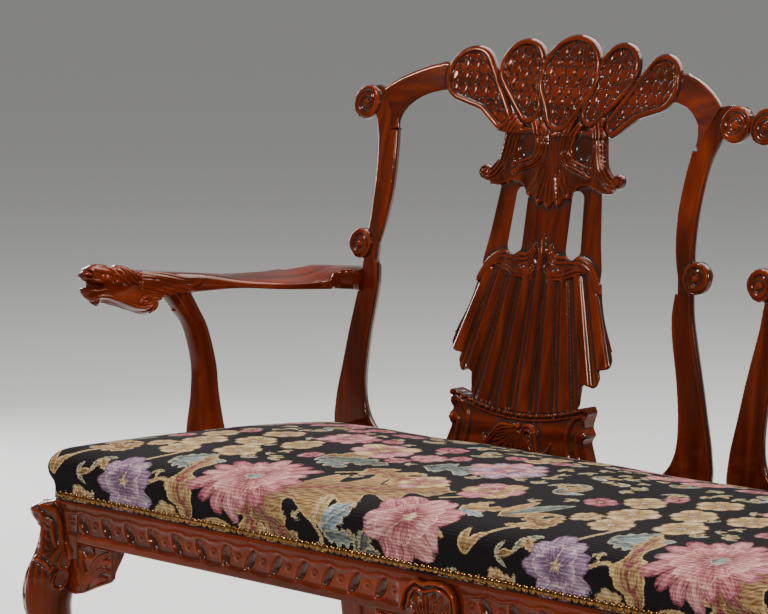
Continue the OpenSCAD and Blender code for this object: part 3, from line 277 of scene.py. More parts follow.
def evened(values, number, times):
    """Each value of a net averaged with its neighbours, so many times."""
    there = (number >= 0).astype(float)
    grid = np.where(number >= 0, values[number], 0.0)
    for _ in range(times):
        total, count = grid * there, there.copy()
        for axis, way in ((0, 1), (0, -1), (1, 1), (1, -1)):
            total += np.roll(grid * there, way, axis)
            count += np.roll(there, way, axis)
        grid = total / np.maximum(count, 1)
    out = np.zeros(len(values))
    out[number[number >= 0]] = grid[number >= 0]
    return out


def rim_of(faces):
    """The directed edges that only one face has."""
    edges = {(a, b) for face in faces for a, b in zip(face, face[1:] + face[:1])}
    return [(a, b) for a, b in edges if (b, a) not in edges]


def closed(faces, count):
    """The faces of a front, the same ones behind it, and the walls between the two."""
    behind = [[i + count for i in reversed(cell)] for cell in faces]
    return faces + behind + [[b, a, a + count, b + count] for a, b in rim_of(faces)]


def relief(inside, face, back, space, low, high, pitch=1.2, wear_and_shade_scale=1.6):
    """A carved board; face and back give the height of its sides at (points, depth), in mm."""
    p, faces, number = net_of(inside, low, high, pitch)
    depth = np.maximum(inside(p), 0)
    # each height is the mean of four places round its point, which keeps steep cuts from fraying
    around = [(x * pitch * 0.3, y * pitch * 0.3) for x, y in ((1, 1), (-1, 1), (1, -1), (-1, -1))]
    front = np.mean([face(p + offset, depth) for offset in around], axis=0)
    rear = np.minimum(back(p, depth), front - 1.0)
    # how far the place stands out from its surroundings, near and wide
    near, wide = (front - evened(front, number, times) for times in (10, 70))
    # this value lightens the rubbed heights in the finish and darkens the hollows, partly for their old
    # polish, partly as painted shade
    wear_and_shade = np.clip(near / wear_and_shade_scale + .35 * np.minimum(wide, 0) / wear_and_shade_scale, -1, 1)
    return {
        "points": np.vstack([space(p[:, 0], p[:, 1], front), space(p[:, 0], p[:, 1], rear)]),
        "faces": closed(faces, len(p)),
        "wear_and_shade": np.concatenate([wear_and_shade, np.zeros(len(p))]),
    }


# %% [markdown]
# ## Placing a form
# Each form becomes an object in metres that rides on the settee's one body and stands for the node of
# the imported model it dresses. It keeps two values on its points for the finish: how worn or sunken
# the place is, which also sets the painted shade in its hollows, and where it lies in the plank it was
# cut from, with the grain along the first number.
# %% Placing forms
GRAIN = {"x": (0, 2, 1), "y": (1, 0, 2), "z": (2, 0, 1)}
finishes = {}


def joined(*forms):
    """Several closed forms as one piece."""
    points, faces, wear_and_shade, count = [], [], [], 0
    for form in forms:
        points.append(form["points"])
        faces += [[k + count for k in face] for face in form["faces"]]
        wear_and_shade.append(form.get("wear_and_shade", np.zeros(len(form["points"]))))
        count += len(form["points"])
    return {"points": np.vstack(points), "faces": faces, "wear_and_shade": np.concatenate(wear_and_shade)}


def mirror_image(form):
    return {**form, "points": form["points"] * (-1, 1, 1), "faces": [c[::-1] for c in form["faces"]]}


def put(form, name, finish, node, grain="z", mirrored=False, shift=0.0, sharp=48):
    form = {**form, "points": form["points"] + (shift, 0, 0)}
    if mirrored:
        form = mirror_image(form)
    points, faces = (form["points"] + (0, SETBACK, 0)) * MM, form["faces"]
    mesh = bpy.data.meshes.new(name)
    mesh.from_pydata(points.tolist(), [], faces)
    mesh.shade_smooth()
    mesh.set_sharp_from_angle(angle=math.radians(sharp))
    plank = points[:, GRAIN[grain]] + sum(map(ord, name)) * 0.037
    mesh.attributes.new("plank", "FLOAT_VECTOR", "POINT").data.foreach_set("vector", plank.ravel())
    wear_and_shade = form.get("wear_and_shade", np.zeros(len(points)))
    mesh.attributes.new("wear_and_shade", "FLOAT", "POINT").data.foreach_set("value", wear_and_shade)
    mesh.materials.append(finishes[finish])
    piece = bpy.data.objects.new(name, mesh)
    bpy.context.scene.collection.objects.link(piece)
    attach(piece, "root")
    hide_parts(node)
    print(name, len(points), "points", len(faces), "faces")
    return piece


def put_wood(form, node, grain, mirrored=False, shift=0.0, made="carved"):
    put(form, f"{node}_{made}", "french_polished_mahogany", node, grain, mirrored, shift)


def put_pair(form, node, grain, left_mirrored=True, shift=0.0, made="carved"):
    """A piece and its mirror image, each named for its side of the settee."""
    for side, mirrored in (("left", left_mirrored), ("right", not left_mirrored)):
        put_wood(form, f"{node}_{side}", grain, mirrored, shift, made)


# %% [markdown]
# ## Colours and nodes
# Colours are given as they look on a screen and turned to the linear values that Blender adds light
# with. One small helper adds a node with its settings and its links.
# %% Colour and node helpers
def linear(hex_colour, alpha=1.0):
    parts = [int(hex_colour[i:i + 2], 16) / 255 for i in (1, 3, 5)]
    return [c / 12.92 if c <= 0.04045 else ((c + 0.055) / 1.055) ** 2.4 for c in parts] + [alpha]


def fill(tree, node, sockets):
    """Gives a node's sockets their links, hex colours or plain values."""
    for socket, value in sockets.items():
        if isinstance(value, bpy.types.NodeSocket):
            tree.links.new(node.inputs[socket], value)
        else:
            node.inputs[socket].default_value = linear(value) if isinstance(value, str) else value


def add(tree, kind, sockets, **settings):
    """Adds a node; settings go on the node itself or on its socket of that name."""
    node = tree.nodes.new(kind)
    for name, value in settings.items():
        if hasattr(node, name):
            setattr(node, name, value)
        else:
            node.inputs[name.replace("_", " ")].default_value = value
    fill(tree, node, sockets)
    return node


def attribute(tree, name, output):
    return add(tree, "ShaderNodeAttribute", {}, attribute_name=name).outputs[output]


def maths(tree, operation, *values, clamp=False):
    sockets = dict(enumerate(values))
    return add(tree, "ShaderNodeMath", sockets, operation=operation, use_clamp=clamp).outputs[0]


def remap(tree, source, *ends):
    """Turns the range between the first two ends into the range between the last two."""
    return add(tree, "ShaderNodeMapRange", dict(enumerate((source, *ends)))).outputs[0]


def noise(tree, place, scale=1.0, detail=2.0, distortion=0.0, stretch=None, **settings):
    """Noise at a place, which may be scaled in each direction first."""
    if stretch:
        place = add(tree, "ShaderNodeMapping", {0: place}, Scale=stretch).outputs[0]
    return add(tree, "ShaderNodeTexNoise", {0: place}, Scale=scale, Detail=detail,
               Distortion=distortion, **settings).outputs[0]


def bumped(tree, height, strength, distance):
    return add(tree, "ShaderNodeBump", {"Height": height}, Strength=strength,
               Distance=distance).outputs[0]


def ramp(tree, source, *stops):
    """A ramp of colours or greys, given as (place, hex colour)."""
    node = add(tree, "ShaderNodeValToRGB", {0: source})
    while len(node.color_ramp.elements) < len(stops):
        node.color_ramp.elements.new(0.5)
    for element, (place, colour) in zip(node.color_ramp.elements, stops):
        element.position, element.color = place, linear(colour)
    return node.outputs[0]


def mix(tree, share, a, b):
    """One colour laid over another; the share and both colours may be links."""
    return add(tree, "ShaderNodeMix", {0: share, 6: a, 7: b}, data_type="RGBA").outputs[2]


def start(name):
    """A new finish with its shader, ready for its nodes."""
    material = bpy.data.materials.new(name)
    material.use_nodes = True
    tree = material.node_tree
    finishes[name] = material
    return tree, tree.nodes["Principled BSDF"]


# %% [markdown]
# ## French-polished mahogany
# Mahogany is a reddish wood with short dark pores, each about 0.3 mm wide and 10 mm long, and a
# slow ribbon figure a few centimetres across. Shellac, rubbed on in many coats, gives it a clear gloss
# over a deep colour. In the hollows of the carving old polish has gathered, dark and glossy, and the
# hollows are darkened further as painted shade, while the heights are rubbed to a warmer red. Pores
# are drawn at 0.8 by 25 mm so that they show.
# %% Mahogany
def grain_noise(tree, place, lengthwise, across, detail=3.0, distortion=0.3):
    """Noise drawn out along the grain; the two sizes are in mm."""
    stretch = (1000 / lengthwise, 1000 / across, 1000 / across)
    return noise(tree, place, 1.0, detail, distortion, stretch)


def mahogany(name, place_of, has_wear_and_shade=True):
    tree, shader = start(name)
    place = place_of(tree)
    figure = grain_noise(tree, place, 320, 26, 4.0, 0.8)
    pores = grain_noise(tree, place, 25, 0.8, 2.0)
    colour = ramp(tree, figure, (0.25, "#280c02"), (0.5, "#521806"), (0.78, "#7d2c0b"))
    colour = mix(tree, ramp(tree, pores, (0.56, "#000000"), (0.72, "#8c8c8c")), colour, "#1d0a05")
    rough, film = ramp(tree, figure, (0.2, "#5a5a5a"), (0.8, "#454545")), 0.16
    if has_wear_and_shade:
        wear_and_shade = attribute(tree, "wear_and_shade", "Fac")
        uneven = maths(tree, "MULTIPLY_ADD", noise(tree, place, 70.0, 3.0), 0.5, -0.25)
        # the hollows darken towards near black: partly their dark old polish, partly painted shade
        low = remap(tree, maths(tree, "ADD", wear_and_shade, uneven), -0.7, 0.05, 0.92, 0.0)
        high = remap(tree, wear_and_shade, 0.1, 0.9, 0.0, 0.55)
        colour = mix(tree, high, mix(tree, low, colour, "#22150f"), "#85310c")
        rough = mix(tree, low, rough, "#606060")
        # the shellac gathers in the hollows, which glint more than the flats
        film = remap(tree, low, 0.0, 1.0, 0.16, 0.7)
    # the wood's own gloss is seen through the orange shellac, the film's gloss is clear
    fill(tree, shader, {"Base Color": colour, "Roughness": rough, "IOR": 1.5, "Coat Weight": film,
                        "Coat Roughness": 0.12, "Specular IOR Level": 0.22, "Specular Tint": "#ff9a55",
                        "Normal": bumped(tree, pores, 0.12, 0.0004)})


def plank_place(tree):
    return attribute(tree, "plank", "Vector")


def room_place(tree):
    return add(tree, "ShaderNodeTexCoord", {}).outputs["Object"]


mahogany("french_polished_mahogany", plank_place)
mahogany("plain_mahogany", room_place, has_wear_and_shade=False)
print("finishes:", sorted(finishes))

# %% [markdown]
# ## Splats
# The splat is one leaning board. From top to bottom it carries a mask of acanthus with two hollows,
# two long slots, a leaf with two branches, and a shell of nine reeds that fan out from a point
# above it, with a narrow groove between each two. Everything is strokes laid over the plain board.
# %% Splats: outlines
BOARD = [(.244, .09), (.26, .13), (.279, .15), (.28, .192), (.301, .2), (.301, .3), (.301, .398),
         (.301, .462), (.28, .525), (.256, .631), (.24, .67), (.234, .72), (.24, .78)]
SHELL_SIDE = [(.31, .43), (.325, .387), (.35, .343), (.382, .304), (.413, .268)]
# the round ends of the outer reeds step in from the widest point to the board
REED_ENDS = ([(.396, .28), (.408, .258), (.394, .24), (.352, .234)],
             [(.36, .216), (.35, .198), (.33, .192), (.3, .197)])
MASK = [(.25, .78), (.262, .73), (.274, .7), (.3, .682), (.33, .662), (.31, .64), (.26, .638),
        (.2, .65), (.15, .648), (.12, .63), (.06, .612), (0, .604)]
EAR, EAR_R = (.337, .668), 9.5
SLOT = ((.149, .502), 12.6), ((.1415, .62), 10.2)
FAN_Z, FAN_TURN = 929.3, math.radians(43.2 / 9)
board = on_back(BOARD)
board_outline = np.vstack([board, (board * (-1, 1))[::-1]])
mask = on_back(spline(MASK, 3))
mask_outline = np.vstack([mask, (mask[:-1] * (-1, 1))[::-1]])
shell_half = on_back(np.vstack([[(0, .44), (.29, .44)], spline(SHELL_SIDE, 3)[:-1],
                                *[spline(end, 4) for end in REED_ENDS], [(.2, .2), (0, .2)]]))
shell_outline = np.vstack([shell_half, (shell_half[1:-1] * (-1, 1))[::-1]])


def far_on_back(q, place, wide=1.0, high=1.0):
    """The distance from a place that is given in shares of the back."""
    return far(q, place[0] * HALF_PITCH, RAIL_TOP + place[1] * BACK_H, wide, high)


def splat_inside(p):
    q = folded(p)
    solid = np.max([depth_in(q, outline) for outline in (board_outline, shell_outline, mask_outline)]
                   + [EAR_R - far_on_back(q, EAR)], axis=0)
    (low, low_r), (high, high_r) = SLOT
    return np.minimum(solid, -depth_in_capsule(q, *on_back([low]), low_r, *on_back([high]), high_r))


# %% Splats: the shell, the leaf and the mask
def reeds(q):
    """Round reeds with a groove and a fine ridge between them, dying out under the leaf."""
    turn = np.arctan2(q[:, 0], FAN_Z - q[:, 1])
    reach = np.hypot(q[:, 0], FAN_Z - q[:, 1])
    t = np.abs(turn / FAN_TURN - np.round(turn / FAN_TURN))
    pitch = reach * FAN_TURN
    reed = np.maximum(1 - (t / .33) ** 2, 0) ** .6
    ridge = smooth((t - .36) / .14)
    size = np.clip(pitch / 27, .5, 1.2)
    return size * (5.2 * reed + 1.5 * ridge - 1.2)


def shell_top(q):
    """How far a point lies below the leaf branches that bound the shell."""
    top = on_back([(0, .52), (.045, .485), (.09, .466), (.17, .462), (.25, .452), (.31, .43)])
    return np.interp(q[:, 0], top[:, 0], top[:, 1]) - q[:, 1]


def branches(q):
    """The leaf between the slots and the two forked branches that run out under them."""
    h = leaf(q, on_back([(0, .455), (0, .49), (0, .528)]), 17, 5.5, 3, (1,), 1.0)
    h = laid(h, q, [([(0, .45), (0, .5), (0, .532)], [5, 5, 1], [6.5, 6.5, 3]),
                    ([(.055, .492), (.02, .45)], [3, 2], [5, 2]),
                    ([(.04, .505), (.035, .47)], [3, 2], [5, 2])], drawn=on_back)
    for way, spread, rise, taper in (
            ([(.035, .497), (.07, .473), (.13, .472), (.2, .473), (.26, .455), (.315, .41)],
             8.5, 5.2, (.6, 1, 1, .8, .4)),
            ([(.24, .458), (.18, .456), (.12, .443), (.05, .437)], 8, 5.6, (.4, .9, 1, .7))):
        h = np.maximum(h, strands(q, on_back(way), 3, spread, rise, taper))
    return np.maximum(h, leaf(q, on_back([(.1, .447), (.05, .44), (.03, .437)]), 9, 5, 2))


# locks of hair: line, number of strands, half width, rise and taper
HAIR = [([(.075, .825), (.056, .77), (.05, .727), (.085, .7), (.14, .687), (.2, .672)],
         3, 6.5, 8.2, (.7, 1, 1, .8, .4)),
        ([(.14, .815), (.098, .775), (.08, .74), (.098, .708), (.15, .697), (.205, .69)],
         2, 5.5, 7.2, (.7, 1, 1, .8, .4)),
        ([(.17, .83), (.225, .775), (.245, .72), (.262, .687), (.3, .664), (.335, .66)],
         4, 11.5, 7.6, (1, 1, .95, .9, .6)),
        ([(.14, .83), (.19, .775), (.207, .72), (.19, .685)], 2, 5, 6.2, (.35, 1, 1, .3))]
FAN = [(.004, (0, .608)), (.014, (.05, .614)), (.026, (.098, .63))]
LEAF_TIPS = [((.24, .68), (.215, .647), 5), ((.275, .672), (.262, .642), 5),
             ((.305, .662), (.305, .64), 4.5),
             ((.2, .69), (.165, .655), 5.5), ((.16, .7), (.138, .675), 4)]


def mask_relief(q):
    """Acanthus hair parted round two hollows, over a fan of strands with a bead on top."""
    depth = depth_in(q, mask_outline)
    h = np.where(depth > -0.7, 4.2 - rolled(depth, 4), 0)
    hollow = np.hypot((q[:, 0] - .142 * HALF_PITCH - .1 * (RAIL_TOP + .74 * BACK_H - q[:, 1])) / 13.5,
                      (q[:, 1] - (RAIL_TOP + .741 * BACK_H)) / 19)
    h -= 12 * smooth(1.25 - hollow)
    ways = [([(x, .755), (x * 1.6, .715), (tip[0] * .62, .665), tip], [1.5, 2.6, 5.2, 8.4, 7.5],
             [5, 5.5, 6, 7.5, 6.5]) for x, tip in FAN]
    ways += [([root, tip], [size * .6, size, size * .5], [5, 6.5, 3]) for root, tip, size in LEAF_TIPS]
    ways.append(([(.036, .752), (.05, .71), (.1, .675), (.133, .658)], [1.5, 3, 5, 3.5], [5, 6, 6, 3]))
    h = laid(h, q, ways, vein_shape, drawn=on_back)
    for way, *lock in HAIR:
        h = np.maximum(h, strands(q, on_back(way), *lock))
    ear = far_on_back(q, EAR)
    knob = 5.5 + 3 * dome(ear / EAR_R) - 2.2 * (np.abs(ear - 6) < 1.1)
    h = np.where(ear < EAR_R, np.maximum(h, knob), h)
    return np.maximum(h, 11 * dome(far_on_back(q, (0, .766)) / 5.2))


def splat_face(p, depth):
    q = folded(p)
    below = shell_top(q)
    h = np.where(below > 0, reeds(q) * smooth(below / 9) + 1.2 * smooth(below / 6), 0)
    h -= rolled(depth, 3)
    h = np.maximum(h, branches(q))
    top = q[:, 1] > RAIL_TOP + .59 * BACK_H
    h[top] = np.maximum(h[top], mask_relief(q[top]))
    return h


def splat_back(p, depth):
    return -1.0 - (SPLAT_T - 1.2) * smooth(depth / 9)


def splat_space(x, z, out):
    return np.stack([x, SPLAT_Y + (z - SPLAT_Z) * math.tan(SPLAT_RAKE) - out, z], 1)


splat = relief(splat_inside, splat_face, splat_back, splat_space,
               (-146, RAIL_TOP + .09 * BACK_H), (146, RAIL_TOP + .785 * BACK_H))
put_pair(splat, "splat", "z", shift=HALF_PITCH)

# %% [markdown]
# ## Crest rails
# A crest rail is cut from a thick board that is hollow in plan and leans back. Five lobes stand proud
# of its two plain arms; each has a raised rim and a sunk field of fish scales, and each slips under
# the rim of its inner neighbour. The back is bevelled so far that from the side the edges look thin.
# %% Crest rails
SHELL_PROUD, SUNK = 5.0, 3.6
ARM_TOP = [(.852, .858), (.834, .868), (.789, .886), (.737, .901), (.683, .914), (.638, .921),
           (.59, .925), (.4, .9), (0, .9)]
ARM_LOW = [(.749, .758), (.754, .775), (.748, .797), (.731, .816), (.701, .832), (.662, .845),
           (.617, .853), (.572, .857), (.527, .852), (.467, .836), (.4, .812), (.346, .79),
           (.301, .771), (.25, .766), (0, .766)]
SEAM = [(.852, .858), (.825, .832), (.795, .799), (.7825, .758)]
LOBES = [[(0, .822, .080), (0, .865, .113), (0, .907, .152)],
         [(.158, .824, .058), (.196, .866, .080), (.243, .921, .108)],
         [(.285, .799, .046), (.368, .850, .064), (.480, .899, .110)]]
seam_line = on_back(SEAM)
arm_top, arm_low = on_back(spline(ARM_TOP, 3)), on_back(spline(ARM_LOW, 3))
arm_outline = np.vstack([arm_top, arm_low[::-1], seam_line[::-1]])
# the same outline carried past the seam, so that the rounding of the edges stops short of it
beyond = [(26, 4), (30, -6), (30, -8), (22, -8)]
arm_outline_free = np.vstack([arm_top[1:], arm_low[:0:-1], (seam_line + beyond)[::-1]])


def depth_in_lobe(q, i):
    found = []
    for a, b in zip(LOBES[i], LOBES[i][1:]):
        pa, pb = on_back([a[:2], b[:2]])
        found.append(depth_in_capsule(q, pa, a[2] * HALF_PITCH, pb, b[2] * HALF_PITCH))
    return np.maximum(*found)


def depth_in_lobes(q):
    return np.max([depth_in_lobe(q, i) for i in range(3)], axis=0)


def scales(q, i):
    """Fish scales in rows across a lobe, each one domed and lowest where the next one covers it."""
    low, high = on_back([LOBES[i][0][:2], LOBES[i][2][:2]])
    up = (high - low) / np.hypot(*(high - low))
    x = (q - low) @ np.array([up[1], -up[0]])
    y = (q - low) @ up
    width, row = 18.5, 12.5
    x, y = x + 1.3 * np.sin(y / 17 + i), y + 1.1 * np.sin(x / 13 + 2 * i)
    height = np.zeros(len(q))
    for shift in (-1, 0, 1):
        line = np.round(y / row) + shift
        cx = (np.round(x / width - 0.5 * (line % 2)) + 0.5 * (line % 2)) * width
        dx, dy = x - cx, y - line * row
        u = np.hypot(dx / (width * 0.49), dy / (row * 0.62))
        height = np.maximum(height, (2.4 - 1.2 * dy / row) * dome(u**3))
    return height


def crest_inside(p):
    q = folded(p)
    return np.maximum(depth_in(q, arm_outline), depth_in_lobes(q))


def crest_face(p, depth):
    q = folded(p)
    free = depth_in(q, arm_outline_free)
    height = -rolled(free, 3.5)
    height += np.where(free < -1, -3.5, 0)
    for i in (2, 1, 0):
        e = depth_in_lobe(q, i)
        proud = SHELL_PROUD - 0.7 * i
        rim = proud - rolled(e, 4.2) * 0.9
        fall = smooth((e - 6.4) / 2.4)
        field = proud - SUNK - 0.5 * smooth((e - 8) / 14)
        lobe = rim * (1 - fall) + (field + scales(q, i) * smooth((e - 8) / 2.2)) * fall
        height = np.where(e > -0.7, lobe, height - 1.5 * smooth(1 + e / 3))
    low = (q[:, 1] < RAIL_TOP + .83 * BACK_H) & (q[:, 0] < .3 * HALF_PITCH)
    low &= depth_in_lobes(q) < -0.7
    height[low] = np.maximum(height[low], mask_relief(q[low]))
    return height


def crest_back(p, depth):
    q = folded(p)
    free = np.maximum(depth_in(q, arm_outline_free), depth_in_lobes(q))
    return -3.0 - (CREST_T - 3.2) * smooth(np.maximum(free, depth) / 13)


def crest_space(x, z, out):
    bend = np.sqrt((CREST_R - out) ** 2 - x**2) - CREST_R
    y = CREST_Y + bend / math.cos(CREST_RAKE) + (z - CREST_Z) * math.tan(CREST_RAKE)
    return np.stack([x, y, z], 1)


crest = relief(crest_inside, crest_face, crest_back, crest_space,
               (-286, RAIL_TOP + .755 * BACK_H), (286, 985))
put_pair(crest, "crest", "x", shift=HALF_PITCH)

# %% [markdown]
# ## Stiles
# Each stile is sawn to two sweeps that meet in a scroll half-way up, and ends in a larger scroll at
# the top corner. The scrolls are spirals cut with a V-tool round a domed eye. The rear posts run on
# below the rails as raked legs, so post and leg are one piece of wood.
# %% Stiles and rear posts
LOWER = [(0, .963, .71), (.019, .963, .722), (.045, .965, .762), (.073, .96, .789), (.11, .951, .802),
         (.166, .93, .802), (.25, .9, .786), (.333, .867, .76), (.389, .846, .751), (.439, .836, .758)]
UPPER = [(.439, .836, .77), (.473, .833, .765), (.501, .828, .752), (.547, .82, .737),
         (.6145, .819, .728), (.687, .828, .734), (.734, .841, .743), (.758, .855, .749)]
SIDE = [(0, 0), (.1, .003), (.19, .0075), (.287, .0121), (.38, .0186), (.473, .029),
        (.585, .0484), (.696, .0726), (.79, .0959), (.9, .126)]
SCROLL, EYE = (284.07, 702.95, 20.0), (309.75, 886.9, 22.5)


def edge_of(rows, column):
    return on_back(spline([(row[column], row[0]) for row in rows], 4))


def stile_outline(seam):
    cap = [EYE[:2], (EYE[0], EYE[1] + EYE[2]), (EYE[0] - 13.5, EYE[1] + EYE[2] * 1.03)]
    return np.vstack([edge_of(LOWER, 2)[::-1], edge_of(LOWER, 1), edge_of(UPPER, 1),
                      on_back([(.87, .782), (.891, .801)]), cap, seam, edge_of(UPPER, 2)[::-1]])


stile_shape = stile_outline(seam_line)
stile_shape_free = stile_outline(seam_line + (-30, 0))


def stile_y(z):
    side = spline(SIDE, 4) * BACK_H
    return np.interp(z - RAIL_TOP, side[:, 0], side[:, 1])


def in_circle(p, circle):
    return circle[2] - far(p, *circle[:2])


def scroll(p, circle, turns, way, from_turn):
    """A spiral ridge that narrows towards a domed eye, as height over the disc it is cut in."""
    x, y = p[:, 0] - circle[0], p[:, 1] - circle[1]
    r = np.maximum(np.hypot(x, y) / circle[2], 1e-3)
    turn = (way * np.arctan2(y, x) / (2 * math.pi) - from_turn) % 1
    pace = math.log(1 / .3) / turns
    v = (np.log(1 / np.minimum(r, 1)) / pace - turn) % 1
    ridge = np.sin(math.pi * np.clip(v * 1.12, 0, 1)) ** .6
    h = 1.2 + 2.6 * ridge * np.clip(r * 1.5, .3, 1)
    return np.where(r < .27, 1.4 + 4.2 * dome(r / .27), h) - rolled((1 - r) * circle[2], 2.2)


def stile_inside(p):
    return np.max([depth_in(p, stile_shape), in_circle(p, EYE), in_circle(p, SCROLL)], axis=0)


def stile_face(p, depth):
    free = depth_in(p, stile_shape_free)
    h = -rolled(np.maximum(free, depth), 3.4)
    # a narrow bead runs down the outer arris of both sweeps
    for rows in (LOWER, UPPER):
        h += stroke(p, beside(edge_of(rows, 1), 5.2), [1.3], [-1.0], crease_shape, 1)
    for circle, turns, way, first in ((SCROLL, 1.5, -1, .02), (EYE, 1.7, 1, .62)):
        e = in_circle(p, circle)
        beside_scroll = h - 1.6 * smooth(1 + e / 2.5) * (e > -2.5)
        h = np.where(e > 0, scroll(p, circle, turns, way, first), beside_scroll)
    return h


def stile_back(p, depth):
    free = np.max([depth_in(p, stile_shape_free), in_circle(p, EYE), in_circle(p, SCROLL)], axis=0)
    return -6.0 - (STILE_T - 6.5) * smooth(np.maximum(free, depth) / 10)


def stile_space(x, z, out):
    return np.stack([x, stile_y(z) - out, z], 1)


stile = relief(stile_inside, stile_face, stile_back, stile_space,
               (236, RAIL_TOP - 1), (334, 912), pitch=1.1)
put_pair(mirror_image(stile), "inner_stile", "z", shift=HALF_PITCH)

# %% [markdown]
# ## The stuffed seat
# The seat is stuffed over the rails, so its cover is one taut sheet: nearly flat on top, full over the
# front and the ends, and nailed down on the rails. It is drawn on the flat cloth first, and each point
# of the cloth is then carried over the section of the seat, so the woven flowers bend round the edge
# as they do on the real one. A nailed seat is tight, so small pulls are drawn in place of a simulation.
# %% Seat: the section that the cloth follows
SEAT_X, SEAT_MID, SEAT_D, CROWN, BAND = 651.95, -247.3, 247.0, 52.0, 19.0
CORNER = 20.0
# rows: shrink, rise at the front and ends, rise at the back (shares of the half depth and the crown)
SECTION = np.array([
    (0, -BAND / CROWN, .01), (0, -.0365, .025), (-.026, .2, .05), (-.032, .36, .09), (-.014, .55, .15),
    (.03, .71, .22), (.11, .82, .34), (.25, .9, .5), (.48, .955, .72), (.74, .99, .92), (.93, 1, 1)])
FLAT_FROM = 6
COVER_T = 2.5


def cloth_depth(q):
    """Depth inside the seat's plan with its round corners, the nearest hub, and the way outwards."""
    inner = np.array([SEAT_X - CORNER, SEAT_D - CORNER])
    local = q - (0, SEAT_MID)
    hub = np.clip(local, -inner, inner)
    out = local - hub
    reach = np.hypot(*out.T)
    gap = inner - np.abs(local)
    inside = reach < 1e-6
    nearest = np.argmin(gap, axis=1)
    way = np.where(inside[:, None], np.sign(local) * (np.arange(2) == nearest[:, None]),
                   out / np.maximum(reach, 1e-6)[:, None])
    depth = np.where(inside, CORNER + gap.min(1), CORNER - reach)
    base = np.where(inside[:, None], local + way * gap.min(1)[:, None] + way * CORNER,
                    hub + way * CORNER)
    return depth, base + (0, SEAT_MID), way


def section_at(y, edge_y):
    """Plan shift, height and place on the flat cloth of each row of the section, for each point."""
    back = np.clip((y - FRONT_Y) / (2 * SEAT_D), 0, 1)[:, None] ** 2.2
    end = smooth((edge_y + 14) / 12)[:, None]
    shrink, rise, rise_back = SECTION.T
    shift = shrink * SEAT_D * np.where(shrink < 0, 1 - back, 1)
    share = np.where(np.arange(len(SECTION)) < 2, end, back)
    height = RAIL_TOP + .3 + CROWN * (rise * (1 - share) + rise_back * share)
    step = np.hypot(np.diff(shift, axis=1), np.diff(height, axis=1))
    run = np.concatenate([np.zeros((len(y), 1)), np.cumsum(step, axis=1)], axis=1)
    flat = run - run[:, FLAT_FROM:FLAT_FROM + 1] + shift[:, FLAT_FROM:FLAT_FROM + 1]
    flat[:, FLAT_FROM:] = shift[:, FLAT_FROM:]
    return shift, height, flat


def cloth_inside(q):
    depth, base, _ = cloth_depth(q)
    return depth - section_at(base[:, 1], base[:, 1])[2][:, 0]


def between(rows, values, x):
    """Values read between the rows of each point's own table, along a smooth line."""
    n = rows.shape[1]
    i = np.clip((rows <= x[:, None]).sum(1) - 1, 0, n - 2)
    k = np.arange(len(x))
    h = rows[k, i + 1] - rows[k, i]
    t = np.clip((x - rows[k, i]) / h, 0, 1)
    slope = np.gradient(values, axis=1) / np.gradient(rows, axis=1)
    a, b, sa, sb = values[k, i], values[k, i + 1], slope[k, i] * h, slope[k, i + 1] * h
    return (a * (1 + 2 * t) * (1 - t) ** 2 + sa * t * (1 - t) ** 2 + b * t * t * (3 - 2 * t)
            - sb * t * t * (1 - t))


def cloth_space(q, lift=0.0):
    """The place in the room of points of the flat cloth, lifted along the outside of the section."""
    depth, base, way = cloth_depth(q)
    sides = np.stack([SEAT_X - np.abs(q[:, 0]), SEAT_D - np.abs(q[:, 1] - SEAT_MID)], 1)
    soft = (np.maximum(sides, 1.0) ** -4.0).sum(1) ** -0.25
    mixed = depth + (soft - depth) * smooth((depth - 12) / 50)
    shift, height, flat = section_at(np.where(depth > 30, q[:, 1], base[:, 1]), base[:, 1])
    z = between(flat, height, mixed)
    inward = np.where(depth > flat[:, FLAT_FROM], depth, between(flat, shift, depth))
    dz = between(flat, height, mixed + 1) - z
    dn = np.where(depth > flat[:, FLAT_FROM], 1, between(flat, shift, depth + 1) - inward)
    size = np.maximum(np.hypot(dz, dn), 1e-6)
    out, up = dz / size, dn / size
    # small pulls: waves on top, a pucker at each nail, and a pleat folded at each front corner
    along_edge = base[:, 0] + base[:, 1]
    u, v = q.T
    wave = 0.8 * np.sin(u / 83 + 1) * np.sin(v / 61) + 0.5 * np.sin(u / 31 + v / 47)
    wave *= smooth(depth / 60)
    nails = 0.35 * np.cos(2 * math.pi * along_edge / 10) * smooth((-depth - 30) / 16)
    nails *= way[:, 1] < .9
    turn = np.degrees(np.arctan2(np.abs(way[:, 0]), -way[:, 1]))
    pleat = -1.8 * np.exp(-((turn - 38) / 6) ** 2) * smooth((-depth + 4) / 14)
    lift = lift + wave + nails + pleat
    place = base - way * (inward - out * lift)[:, None]
    return np.stack([place[:, 0], place[:, 1], z + up * lift], 1)


# %% [markdown]
# ## Woven flowers
# The tapestry is a dark ribbed ground strewn with garden flowers and lobed leaves in worn pinks,
# creams, mauves, tans and blue-greys. The motifs are this script's own: each is a few closed
# outlines, and every point of the cloth keeps how deep it lies in the nearest one, so the edges
# stay sharp between points. Motifs lie in three layers: leaves, petals, and hearts of flowers.
# %% Motifs of the tapestry
REPEAT = 686.0
LAYERS = ("leaves", "petals", "hearts")


def petal(length, width, tip=.1, teeth=3):
    """A petal from its root at the origin along +x: broad and round at its end, with small teeth."""
    t = np.concatenate([np.linspace(0, .6, 5), .6 + .4 * np.sin(np.linspace(.25, 1.45, 6))])
    round_end = np.sqrt(np.maximum(1 - ((t - .6) / .4) ** 2, .02)) ** .8
    half = width / 2 * np.where(t < .6, (t / .6) ** .75, round_end)
    upper = np.stack([t * length, half], 1)
    end = np.linspace(half[-1], -half[-1], 2 * teeth + 1)
    fringe = np.stack([length * (1 - tip * (np.arange(len(end)) % 2)), end], 1)
    return np.vstack([upper[:-1], fringe, (upper[1:-1] * (1, -1))[::-1]])


